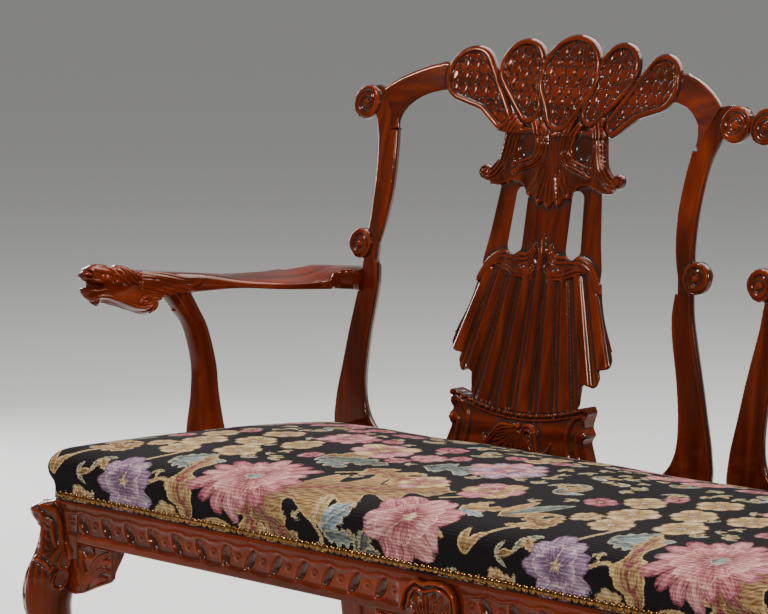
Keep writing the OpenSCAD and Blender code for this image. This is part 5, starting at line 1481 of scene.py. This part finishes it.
def leg_rings(corner, top, count=132):
    z = np.concatenate([np.arange(0, 62, 1.1), np.arange(62, 292, 2.6), np.arange(292, 446, 1.25)])
    z = np.append(z[z < top], top)
    if not corner:
        z = np.sort(np.append(z, [LEG_H, LEG_H + .02]))
    front, back = (np.interp(z / LEG_H, leg_rows[:, 0], leg_rows[:, k]) for k in (1, 2))
    middle = (front + back) / 2 * KNEE_OUT
    middle += (BALL_U - middle) * smooth((66 - z) / 20)
    middle += ((10 if corner else middle) - middle) * smooth((z - 335) / 20)
    if not corner:
        middle = np.where(z > LEG_H, -15, middle)
    turn = np.arange(count) * 2 * math.pi / count
    reach = np.linspace(0, 84, 169)[:, None, None]
    u = middle[:, None] + reach * np.cos(turn)
    t = reach * np.sin(turn)
    depth = leg_inside(u, t, z[:, None] + 0 * t, corner)
    last = len(reach) - 1 - np.argmax(depth[::-1] > 0, axis=0)
    last = np.minimum(last, len(reach) - 2)
    i, j = np.indices(last.shape)
    a, b = depth[last, i, j], depth[last + 1, i, j]
    r = .5 * (last + a / np.maximum(a - b, 1e-6))
    # four talons hold the ball
    high = (z - BALL_Z) / BALL_R
    out, half = (np.interp(high, TALON[:, 0], TALON[:, k]) * BALL_R for k in (1, 2))
    for way in (-58, 58, 0, 180):
        gap = (turn - math.radians(way) + math.pi) % (2 * math.pi) - math.pi
        across = np.abs(np.sin(gap)) * (np.maximum(out, 1) / np.maximum(half, .5))[:, None]
        there = ((high < 1.04) & (high > -.8))[:, None] * (np.abs(gap) < 1)
        r = np.maximum(r, r + (out[:, None] - r) * dome(across) * there)
    return np.stack([middle[:, None] + r * np.cos(turn), r * np.sin(turn), z[:, None] + 0 * r], -1)


# %% Front legs: the carving
# the knee's ornament as seen from the side: u runs out from the leg's block, z is the height
KNEE_RIBS = [
    ([(46, 416.5), (42, 417), (37, 416), (32, 413.5), (26.5, 410), (22, 400), (20, 387),
      (19.5, 377)], [2.5, 4.4, 4.4, 4, 3.2], [3, 3.4, 3.4, 2.6]),
    ([(55, 411), (48, 411), (41.5, 402), (33, 396), (30, 382), (26.7, 370)],
     [2, 2.6, 2.8, 2.2], [2.4]),
    ([(60, 356), (57, 353.6), (48, 351), (39.3, 347), (33.8, 339), (28, 344)],
     [2.4, 3.2, 3.2, 2], [3.2]),
    ([(46, 404), (45, 385), (44, 366), (47, 356)], [1.5, 2.6, 2.8, 2.2], [1.8, 2.4]),
    ([(18, 376), (22, 366), (30, 356), (31.5, 345)], [1.5, 2.4, 2.6, 2], [2.8]),
    ([(17, 376), (17.5, 364), (22, 352), (22.5, 343)], [1.5, 2.4, 2.4, 1.6], [2.8]),
    ([(15, 376), (9, 364), (10, 352), (12.5, 343)], [1.5, 2.6, 2.8, 2], [2.8])]
KNEE_DROPS = [([top, low], [2.4, 3.4, .8], [2.4, 1.8, .4]) for top, low in (
    ((64, 348), (70, 318)), ((57, 347), (62, 314)), ((50, 345), (53, 316)), ((43, 341), (43, 318)))]
KNEE_LEAFLETS = [([(44, 398 - 11 * k), (44 + 8 * side, 390 - 12 * k)], [1, 2.4, 1.4], [.6, 1.8, 1.2])
                 for side in (-1, 1) for k in range(4)]


def knee_carving(u, z):
    p = np.stack([u, z], 1)
    # the panel between the ribs, the shell below it, the C-scroll and the curl on top
    h = 2.2 * dome(far(p, 20, 358, 15, 17)) - 2.0 * hill(far(p, 39, 385, 9, 20), 1)
    ring = np.hypot((u - 22 + .3 * (z - 329)) / 9, (z - 329) / 14)
    curl = far(p, 52, 420)
    h += 3.0 * hill(ring - .92, .16) - 7.0 * dome(ring / .76)
    h += 1.2 * hill(curl - 7.2, 1.3) - 1.8 * hill(curl - 4.2, 1.2)
    for rib in KNEE_RIBS:
        h = np.maximum(h, stroke(p, *rib) + h * .35)
    return laid(laid(h, p, KNEE_DROPS), p, KNEE_LEAFLETS, vein_shape)


def front_carving(t, z):
    """A long pointed leaf that hangs down the middle of the knee."""
    p = np.stack([t, z], 1)
    h = leaf(p, [(0, 398), (0, 350), (0, 300), (0, 258)], 15, 2.4, 6)
    return laid(h, p, [([(0, 405), (0, 330), (0, 250)], [2.6, 3, .6], [3, 2.6, .8])], steps=4)


def leg_carve(corner):
    def carve(points, outward):
        u, t, z = points[:, 0], np.abs(points[:, 1]), points[:, 2]
        ahead = smooth((outward[:, 0] - .72) / .2)
        h = knee_carving(u, z) * (u > 2) * (z < 426)
        on_knee = smooth((z - 245) / 30) * smooth((412 - z) / 10)
        h = h * (1 - ahead) + (front_carving(t, z) - 3.4) * ahead * on_knee
        if corner:
            e = t * math.sqrt(2)
            face = (z > LEG_H) & (np.abs(u + t - BLOCK_R) < 1.5)
            rail = frieze(FRAME_X - e, z, *FRONT_RUN) * smooth((e - 27) / 2)
            h = np.where(face, np.where(e > 28, rail, np.maximum(h, 0)), h)
            rebated = (z > COVE_TOP) & (u + t > 30)
            h = np.where(rebated, -REBATE * smooth((z - COVE_TOP - .5) / 3), h)
        # fine wrinkles over the knuckles
        return h + .35 * np.sin(z / 1.1) * hill(z - 41, 5) * (t > 3)
    return carve


corner_leg = limb(leg_rings(True, RAIL_TOP), leg_carve(True))
u, t, z = corner_leg["points"].T
corner_leg["points"] = np.stack([FRAME_X - POST_W / 2 + (u + t) / math.sqrt(2),
                                 FRONT_Y + POST_W / 2 + (t - u) / math.sqrt(2), z], 1)
put_pair(corner_leg, "front_leg", "z")
node_top = max(corner[2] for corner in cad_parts["front_leg_middle"].bound_box) / MM
print("middle leg's top", node_top)
middle_leg = limb(leg_rings(False, min(max(node_top, 380), RAIL_TOP)), leg_carve(False))
u, t, z = middle_leg["points"].T
middle_leg["points"] = np.stack([t, FRONT_Y + POST_W / 2 - u, z], 1)
put_wood(middle_leg, "front_leg_middle", "z")

# %% [markdown]
# ## Rear legs
# The rear legs are plain, square with softened edges, and rake backwards to the floor. The outer two
# are the lower ends of the rear posts.
# %% Rear legs
REAR_X, SWEEP = 606.2, 62.0
rear_sweep = spline([(0, 1), (.27, .5), (.53, .2), (.8, .03), (1, 0), (1.19, 0)], 4)


def rear_leg(x_at, top, y_from=None):
    rings = []
    for z in np.append(np.arange(0, top, 7.0), top):
        y0 = np.interp(z / LEG_H, rear_sweep[:, 0], rear_sweep[:, 1]) * SWEEP
        y1 = y0 + 34 + 3 * min(z / LEG_H, 1)
        if y_from and z > LEG_H:
            y0 = y_from
        x0, x1 = x_at(min(z / LEG_H, 1))
        rings.append(oval_ring(((x0 + x1) / 2, (y0 + y1) / 2, z), np.array([(x1 - x0) / 2, 0, 0]),
                               np.array([0, (y1 - y0) / 2, 0]), 9, 48))
    return limb(rings)


outer_leg = rear_leg(lambda s: (REAR_X + 9.25 * (1 - s), FRAME_X), RAIL_TOP)
outer_leg["points"][:, 0] -= HALF_PITCH
rear_post = joined(stile, outer_leg)
put_pair(rear_post, "rear_post", "z", shift=HALF_PITCH)
middle_rear_leg = rear_leg(lambda s: (-18.4 - 4.6 * s, 18.4 + 4.6 * s), RAIL_TOP, 26.2)
put_wood(middle_rear_leg, "rear_leg_middle", "z", made="plain")

# %% [markdown]
# ## Arms and their supports
# An arm leaves the rear post as a wide flat rest for the elbow, narrows to a round neck and ends in a
# dragon's head. The head is carved like a medal on both cheeks: its outline and features are drawn in
# profile, and its thickness falls away towards the outline. The mane runs back along the neck.
# %% Arms: body and mane
ARM_L, ARM_H, FLARE, ELBOW = 392.0, 209.0, 54.0, 62.0
# rows: place out from the post and along the arm, height, half width, half height, tilt of the top
ARM = [(-.80, -.055, 0, .30, .27, 0), (-.50, -.052, .003, .31, .26, 0),
       (-.10, -.022, .005, .40, .245, .01), (.18, .03, .008, .58, .175, .08),
       (.30, .12, .006, .52, .10, .11), (.36, .25, .015, .42, .085, .10),
       (.46, .38, .031, .33, .10, .07), (.60, .51, .041, .28, .19, .01),
       (.74, .63, .050, .275, .24, 0), (.88, .74, .062, .28, .27, 0),
       (.92, .79, .066, .25, .26, 0), (.94, .83, .075, .15, .16, 0)]


def limb_at(q):
    return np.array([FRAME_X + q[0] * FLARE, -q[1] * ARM_L, RAIL_TOP + ARM_H + q[2] * ARM_H])


MANE = [[(306, 684), (290, 681), (268, 677), (240, 671), (206, 672)],
        [(306, 677), (285, 674), (262, 669), (240, 663), (222, 667), (208, 676)],
        [(306, 671), (284, 667), (262, 662), (243, 656), (228, 659)],
        [(306, 665), (286, 660), (266, 655), (246, 650), (232, 651)],
        [(306, 658), (290, 653), (272, 649), (256, 645)]]


def mane(points, outward):
    p = np.stack([-points[:, 1], points[:, 2]], 1)
    locks = [(line, [4.6, 4.8, 4.4, 3.2, 1.4], [3.4, 3.2, 2.6, 1.8, .4]) for line in MANE]
    h = laid(np.zeros(len(p)), p, locks, vein_shape)
    return h * smooth(np.abs(outward[:, 0]) * 1.6) * smooth((p[:, 0] - 200) / 25)


arm_rows = spline(ARM, 14)
path = np.array([limb_at(q) for q in arm_rows])
run = np.gradient(path, axis=0)
arm_rings = []
for q, at, way in zip(arm_rows, path, run):
    across = np.array([-way[1], way[0], 0]) / math.hypot(way[0], way[1]) * q[3] * ELBOW
    across[2] = q[5] * ELBOW * np.sign(across[0])
    power = 2.5 + 3.2 * math.exp(-((q[1] - .13) / .2) ** 2)
    arm_rings.append(oval_ring(at, across, np.array([0, 0, q[4] * ELBOW]), power, 96))


def arm_carve(points, outward):
    # the elbow rest is slightly dished on top
    rest = np.exp(-((-points[:, 1] - 20) / 60) ** 2)
    return mane(points, outward) - 2.2 * smooth((outward[:, 2] - .6) / .4) * rest


arm_body = limb(arm_rings, arm_carve)

# %% Arms: the dragon's head
MOUTH = np.array([(384, 678.6), (379, 677.2), (371, 676.2), (365.5, 675.6), (363, 672), (366, 668.4),
                  (377, 669.2), (386, 671.4), (392, 671), (392, 679)])
HEAD = spline([
    (256, 680), (272, 681), (286, 682), (296, 683), (303.4, 685), (311, 688.5), (320.6, 692),
    (330, 695), (336.5, 695.4), (340, 693.5), (349, 695.7), (357, 698), (368, 699.4), (376, 698.7),
    (383, 695.2), (389.5, 690), (391.6, 686), (390.8, 682), (388, 679.4), (384.6, 678),
    (382.6, 675), (383.6, 672), (386.8, 671.2), (389.6, 670.2), (390.6, 667), (389.8, 662),
    (386.3, 657.5), (379.9, 653), (374.4, 648.2), (369, 646.2), (365, 647.2), (363, 650.2),
    (354.5, 647.8), (340.4, 643.6), (326, 638.6), (312, 633.9), (302.2, 630.5), (292.5, 628.8),
    (283, 630.1), (277, 634), (274, 639.6), (272.6, 645.5), (256, 648)], 2)
# half thickness and place beside the frame, along the head
NECK = np.array([(250, 15, 44), (290, 15, 47.5), (315, 14, 49.7), (335, 13.5, 51), (350, 13, 51.7),
                 (370, 11.5, 52.6), (395, 10, 53.6)])
# the jaw's rib with its scroll, two horns, the ear, the brow, the nose and the lip
JAW_RIB = [(291, 641), (302, 638.4), (314, 640), (328, 645.4), (343, 651.8), (357, 656.8), (369, 658.6),
           (382, 653)]
FEATURES = [
    ([(382, 653), (377, 657), (369, 658.6), (357, 656.8), (343, 651.8), (328, 645.4), (314, 640),
      (302, 638.4), (293, 641.5), (291, 648.2), (296, 653), (304, 652.4), (308, 647)],
     [2, 3.2, 3.2, 3.4, 3.4, 3.2, 2.8], [2, 2.6, 2.6, 3, 3, 2.6]),
    ([(352, 696), (348, 689), (342, 683.5), (333, 676), (324, 670)], [3, 3.2, 2.8, 2.2, 1.4],
     [4, 3.4, 2.6, 1.8]),
    ([(341, 693), (335, 685), (330, 678), (323, 673)], [2.4, 2.8, 2.4, 1.4], [4, 3.4, 2.6, 1.6]),
    ([(318, 690), (314, 683), (309, 676), (305, 672)], [2, 3.4, 3.4, 1.6], [4, 4.4, 4, 2]),
    ([(386, 682), (378, 680), (372.5, 679), (369, 675), (370, 671)], [1.6, 2.2, 2.4, 2],
     [2.4, 2.2, 1.6]),
    ([(386, 697), (372, 694), (358, 690.5), (348, 686)], [2.5, 3.6, 3.6, 2], [3.2, 3, 2]),
    ([(388, 669), (380, 667), (370, 666.4), (362, 667.6)], [1.4, 1.8, 1.8, 1], [1.8, 1.8, 1])]
LOCKS = [([(333, 692), (326, 684), (320, 677), (313, 672.5)], [3, 6, 6.4, 2.4], [4, 6, 5.4, 3]),
         ([(306, 684), (295, 678), (283, 671.5), (275, 673), (277, 680)], [3, 4.4, 4.8, 4, 2],
          [3, 4.6, 4.6, 3.4])] + [(line[:3], [3, 4.6, 4.8], [2.4, 3.4, 3.2]) for line in MANE]
HEAD_ROOM = 68.8


def head_face(p, depth):
    half, beside_frame = (np.interp(p[:, 0], NECK[:, 0], NECK[:, k]) for k in (1, 2))
    h = half * dome(1 - np.clip(depth / 12, 0, 1))
    # a lower band under the jaw's rib, the nostril with its pupil-like knob, and the cheeks
    rib = np.interp(p[:, 0], *np.transpose(JAW_RIB))
    h -= 3.0 * smooth((rib - p[:, 1]) / 3) * (p[:, 0] > 288)
    nose = far(p, 384.5, 688.3)
    h += 3.2 * hill(nose - 6.0, 1.2) - 3.6 * hill(nose - 3.9, 1.1)
    h += 3.0 * dome(nose / 2.6) - 1.6 * hill(nose, .9)
    for rise, *place in ((4.2, 343, 675, 13, 8), (3.4, 361, 682, 5.5, 4), (-2.6, 352, 684, 3, 7)):
        h += rise * hill(far(p, *place), 1)
    # the eye of the jaw's scroll
    h += 2.8 * dome(far(p, 301, 645.8) / 4)
    carved = laid(laid(np.zeros(len(p)), p, FEATURES), p, LOCKS, vein_shape)
    h += carved * np.clip(depth / 3, .25, 1)
    return np.clip(h - 9 * smooth(depth_in(p, MOUTH) / 2), 1.2, HEAD_ROOM - beside_frame)


def head_space(s, z, out):
    return np.stack([FRAME_X + np.interp(s, NECK[:, 0], NECK[:, 2]) + out, -s, z], 1)


head = relief(lambda p: depth_in(p, HEAD), head_face, lambda p, depth: -head_face(p, depth),
              head_space, (255, 627), (393, 700), .8, 1.4)
put_pair(joined(arm_body, head), "arm", "y")

# %% Arm supports
# rows: place along the arm and out from the frame, height, half width and half depth
SUPPORT = [(.002, .35, -.30, .52, .98), (.002, .35, -.15, .52, .95), (.001, .40, 0, .48, .88),
           (0, .48, .16, .44, .72), (-.006, .54, .35, .40, .52), (-.008, .60, .54, .38, .45),
           (.018, .67, .76, .38, .44), (.055, .72, .88, .40, .50), (.10, .75, 1, .42, .58)]
support_rings = []
for q in spline(SUPPORT, 12):
    centre = (FRAME_X + q[1] * FLARE, SUPPORT_Y - q[0] * ARM_L, RAIL_TOP + q[2] * ARM_H)
    half_x, half_y = np.array([q[3] * 33, 0, 0]), np.array([0, q[4] * 36.6, 0])
    support_rings.append(oval_ring(centre, half_x, half_y, 3.2, 64))
support = limb(support_rings)
# its inner face lies flat against the rail, and against the cloth above the rail
x, y, z = support["points"].T
support["points"] = np.stack([np.maximum(x, FRAME_X + 10.3 * (z > BAND_Z - .3)), y, z], 1)
put_pair(support, "arm_support", "z", made="shaped")

# %% [markdown]
# ## Plain woven cloths
# Under the tapestry an upholsterer lays webbing, hessian and a stitched scrim over the stuffing, and
# tacks black cotton below. All are plain weaves: threads pass over and under each other in two
# directions. One finish serves them, with the thread's width in mm; threads finer than 1 mm are drawn
# at 1 mm so that they show. Jute is fibrous and matt, cotton a little smoother.
# %% Plain weaves
def plain_weave(name, thread, light, dark, rough=0.85):
    tree, shader = start(name)
    place = room_place(tree)
    warp, weft = (add(tree, "ShaderNodeTexWave", {"Vector": place}, bands_direction=way, Detail=1.5,
                      Scale=250 / thread, Distortion=0.6).outputs[1] for way in "XY")
    over = maths(tree, "MULTIPLY", warp, weft)
    colour = mix(tree, noise(tree, place, 45.0, 4.0), dark, light)
    # where the threads dip under each other the colour is darkened as painted shade
    colour = mix(tree, ramp(tree, over, (0.0, "#000000"), (0.6, "#bcbcbc")),
                 mix(tree, 0.55, colour, dark), colour)
    fill(tree, shader, {"Base Color": colour, "Roughness": rough, "Specular IOR Level": 0.2,
                        "Normal": bumped(tree, over, 0.5, 0.0005)})


plain_weave("jute_webbing_cloth", 2.2, "#a98a5c", "#5f4629")
plain_weave("jute_hessian_cloth", 1.6, "#b0905f", "#6a5031")
plain_weave("linen_scrim_cloth", 1.2, "#b9a47e", "#7d6a4b")
plain_weave("black_cotton_cloth", 1.0, "#232122", "#0b0a0b", 0.75)

# %% [markdown]
# ## Under the cover
# The stuffing follows the cover's own section, 2.8 mm further in, and lies flat on the hessian. Its
# edge is drawn in by rows of twine stitches. The webs pass over and under each other like a basket.
# The dust cover is cut out round the legs and sags a little between tacks.
# %% Seat stuffing
STUFFING_LOW, TWINE_PITCH = 451.5, 22
p, cells, _ = net_of(lambda q: cloth_depth(q)[0] - 2, (-700, -540), (700, 10), 11.0)
top = cloth_space(p, -COVER_T - .6)
stitches = .6 * np.cos(2 * math.pi * p.sum(1) / TWINE_PITCH) * hill(cloth_depth(p)[0] - 24, 9)
top[:, 2] = np.maximum(top[:, 2] - .6 + stitches, STUFFING_LOW + 1.1)
below = top * (1, 1, 0) + (0, 0, STUFFING_LOW)
stuffing = put({"points": np.vstack([top, below]), "faces": closed(cells, len(p))},
               "seat_stuffing_in_scrim", "linen_scrim_cloth", "seat_stuffing", "x")

# %% Webbing
WEB_W, WEB_T, WEBS_LONG, WEBS_CROSS = 49.46, 1.6, 5, 11
WEB_X, WEB_Y = 637.2, (-476.6, -7.5)
# the opening inside the rails that the webs are spread over
OPEN_X, OPEN_Y = (-597.25, 597.25), (-439.6, -7.5)


def spread(ends, count):
    return [ends[0] + (ends[1] - ends[0]) * (i + .5) / count for i in range(count)]


long_y, cross_x = spread(OPEN_Y, WEBS_LONG), spread(OPEN_X, WEBS_CROSS)
# half of a web's section: side, share of the half width, and above or below the middle
WEB_EDGE = [(-1, 1, 0), (-1, .97, -1), (-1, .5, -1), (1, .5, -1), (1, .97, -1), (1, 1, 0), (1, .97, 1),
            (1, .5, 1), (-1, .5, 1), (-1, .97, 1)]


def web(ends, middle, crossings, first, along_x):
    """One web, which passes over and under those that cross it, with its ends tacked to the rails."""
    run = np.linspace(*ends, int((ends[1] - ends[0]) / 6))
    lift = sum((1 if (k + first) % 2 else -1) * .95 * np.exp(-((run - at) / 26) ** 4)
               for k, at in enumerate(crossings))
    z = np.clip(RAIL_TOP + 1.9 + lift, RAIL_TOP + WEB_T / 2 + .15, RAIL_TOP + 3.1)
    at_end = smooth((np.minimum(run - ends[0], ends[1] - run) - 8) / 10)
    z = (RAIL_TOP + WEB_T / 2 + .1) * (1 - at_end) + z * at_end
    side, share, up = np.transpose(WEB_EDGE)
    across = middle + side * WEB_W / 2 * share + 0 * run[:, None]
    height = z[:, None] + up * WEB_T / 2
    lengthwise = run[:, None] + 0 * across
    return limb(np.stack([lengthwise, across, height] if along_x else [across, lengthwise, height], -1))


webs = joined(*[web((-WEB_X, WEB_X), y, cross_x, i, True) for i, y in enumerate(long_y)],
              *[web(WEB_Y, x, long_y, i + 1, False) for i, x in enumerate(cross_x)])
webbing = put(webs, "webbing_interlaced", "jute_webbing_cloth", "webbing", "x", sharp=60)


# %% Hessian and dust cover
# two corners of each sheet's plan
HESSIAN, DUST = ((-634.2, -473.5), (634.2, -9.7)), ((-628.2, -470.2), (628.2, -7.5))
HESSIAN_TOP, DUST_TOP, TACK_PITCH = 450.9, 375.8, 48
# the dust cover is cut out round the corner legs and the middle leg, back to this line
CUT_X, CUT_MIDDLE, CUT_BACK = 596.9, 27.8, -439.3


def stretched_cloth(inside, height, low, high, name, finish, node):
    """A level sheet 1 mm thick, from its plan, its outline and the height of its top."""
    form = relief(inside, height, lambda p, depth: height(p, depth) - 1.0,
                  lambda x, y, z: np.stack([x, y, z], 1), low, high, 9.0)
    piece = put(form, name, finish, node, "x")


def hessian_height(p, depth):
    return HESSIAN_TOP + .08 * np.sin(p[:, 0] / 40) * np.sin(p[:, 1] / 33)


def dust_inside(p):
    corners = np.maximum(CUT_X - np.abs(p[:, 0]), p[:, 1] - CUT_BACK)
    middle = np.maximum(np.abs(p[:, 0]) - CUT_MIDDLE, p[:, 1] - CUT_BACK)
    return np.min([depth_in_box(p, *DUST), corners, middle], axis=0)


def dust_height(p, depth):
    sag = 3.2 * smooth((depth - 16) / 120)
    pulls = .25 * np.cos(2 * math.pi * p.sum(1) / TACK_PITCH) * np.exp(-depth / 40)
    return DUST_TOP - sag + pulls * smooth((depth - 10) / 12)


stretched_cloth(lambda p: depth_in_box(p, *HESSIAN), hessian_height, (-635, -475), (635, -9),
                "hessian_stretched", "jute_hessian_cloth", "hessian")
stretched_cloth(dust_inside, dust_height, (-630, -472), (630, -7), "dust_cover_tacked",
                "black_cotton_cloth", "dust_cover")

# %% [markdown]
# ## Brass, steel and beech
# The parts that keep their imported shape still get a finish each. The nails are cast brass, lacquered
# and since gone golden brown, and darker in the ring where each dome meets the cloth. The screws are
# turned steel. The blocks and the middle rail are sawn beech: pale, with short dark flecks.
# %% Brass, steel and beech
tree, shader = start("aged_brass")
place = room_place(tree)
spots = noise(tree, place, 260.0, 4.0, Roughness=0.7)
height = add(tree, "ShaderNodeSeparateXYZ", {0: place}).outputs[2]
# the brass is darker in a ring round each dome's rim, away from the nails' middle height
away = maths(tree, "ABSOLUTE", maths(tree, "SUBTRACT", height, (BAND_Z + 5.5) * MM))
dome_rim_darkening = remap(tree, away, 0.0026, 0.0049, 0.0, 0.85)
colour = ramp(tree, spots, (0.3, "#3c2813"), (0.52, "#765129"), (0.7, "#a67b47"))
rough = ramp(tree, spots, (0.3, "#8c8c8c"), (0.7, "#474747"))
fill(tree, shader, {"Base Color": mix(tree, dome_rim_darkening, colour, "#3a2714"), "Roughness": rough,
                    "Metallic": 1.0})

tree, shader = start("turned_steel")
turned = noise(tree, room_place(tree), 900.0)
colour = ramp(tree, turned, (0.3, "#77756f"), (0.7, "#a5a39d"))
rough = ramp(tree, turned, (0.3, "#4a4a4a"), (0.7, "#6e6e6e"))
fill(tree, shader, {"Base Color": colour, "Roughness": rough, "Metallic": 1.0})

tree, shader = start("sawn_beech")
place = room_place(tree)
flecks = grain_noise(tree, place, 6, 0.9, 2.0)
rings = grain_noise(tree, place, 260, 9, 3.0, 0.5)
colour = ramp(tree, rings, (0.3, "#a57c4f"), (0.55, "#bf9563"), (0.75, "#cba676"))
colour = mix(tree, ramp(tree, flecks, (0.6, "#000000"), (0.74, "#7d7d7d")), colour, "#6e4b2b")
fill(tree, shader, {"Base Color": colour, "Roughness": 0.72,
                    "Normal": bumped(tree, flecks, 0.15, 0.0004)})

for name, finish in (("brass_nails", "aged_brass"), ("block_screws", "turned_steel"),
                     ("arm_screws", "turned_steel"), ("corner_blocks", "sawn_beech"),
                     ("medial_rail", "sawn_beech"), ("rear_rail", "plain_mahogany"),
                     ("joint_pegs", "plain_mahogany")):
    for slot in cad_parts[name].material_slots:
        slot.material = finishes[finish]
    print(name, "is finished in", finish)

# %% [markdown]
# ## Camera, floor and light
# The camera stands where the photograph was taken from, in front of the settee's right end, and looks
# slightly down. The floor is a plain pale sheet. A large soft light hangs above and behind, two narrow
# ones stand at the ends for the long highlights, and two small ones in front make the sparkle in the
# carving. None stands where the flat front faces would mirror it, which would veil the wood.
# %% Camera
PHOTO_WIDTH, FOCAL_LENGTH = 768, 3165.2  # in the photograph's pixels
SENSOR = 36
CAMERA_AT, LOOKS_DOWN, TURNED = (2.3226, -2.7464, 1.1574), 7.38, 44.39


def link(name, data):
    thing = bpy.data.objects.new(name, data)
    bpy.context.scene.collection.objects.link(thing)
    return thing


camera_data = bpy.data.cameras.new("camera")
camera_data.sensor_width, camera_data.clip_end = SENSOR, 100
camera_data.lens = FOCAL_LENGTH / PHOTO_WIDTH * SENSOR
camera = link("camera", camera_data)
camera.location = CAMERA_AT
camera.rotation_euler = (math.radians(90 - LOOKS_DOWN), 0, math.radians(TURNED))
bpy.context.scene.camera = camera

# %% Floor and lights
FLOOR_HALF, FLOOR_Z = 30, -0.0005
tree, shader = start("matt_paper")
fill(tree, shader, {"Base Color": "#d6d5d3", "Roughness": 0.9})
floor_mesh = bpy.data.meshes.new("floor")
floor_mesh.from_pydata([(x * FLOOR_HALF, y * FLOOR_HALF, FLOOR_Z)
                        for x, y in ((-1, -1), (1, -1), (1, 1), (-1, 1))], [], [(0, 1, 2, 3)])
floor_mesh.materials.append(finishes["matt_paper"])
floor = link("floor", floor_mesh)

world = bpy.data.worlds.new("studio")
world.use_nodes = True
fill(world.node_tree, world.node_tree.nodes["Background"], {0: "#ffffff", 1: 0.33})
bpy.context.scene.world = world


def softbox(name, place, aim, size, power):
    data = bpy.data.lights.new(name, "AREA")
    data.shape, (data.size, data.size_y), data.energy = "RECTANGLE", size, power
    lamp = link(name, data)
    lamp.location = place
    lamp.rotation_euler = (Vector(aim) - Vector(place)).to_track_quat("-Z", "Y").to_euler()


softbox("softbox_left", (-3.2, 1.0, 1.4), (-0.3, 0.1, 0.6), (0.5, 1.6), 45)
softbox("softbox_right", (3.4, 0.3, 2.2), (-0.3, 0.0, 0.6), (0.5, 0.9), 75)
softbox("softbox_front", (2.0, -3.5, 2.9), (0, 0, 0.5), (0.5, 0.5), 72)
softbox("softbox_high", (-2.2, -2.9, 3.6), (-0.3, -0.3, 0.4), (0.4, 0.4), 90)
softbox("softbox_top", (-0.2, 1.6, 3.6), (0, 0.6, 0.3), (4.2, 2.6), 230)
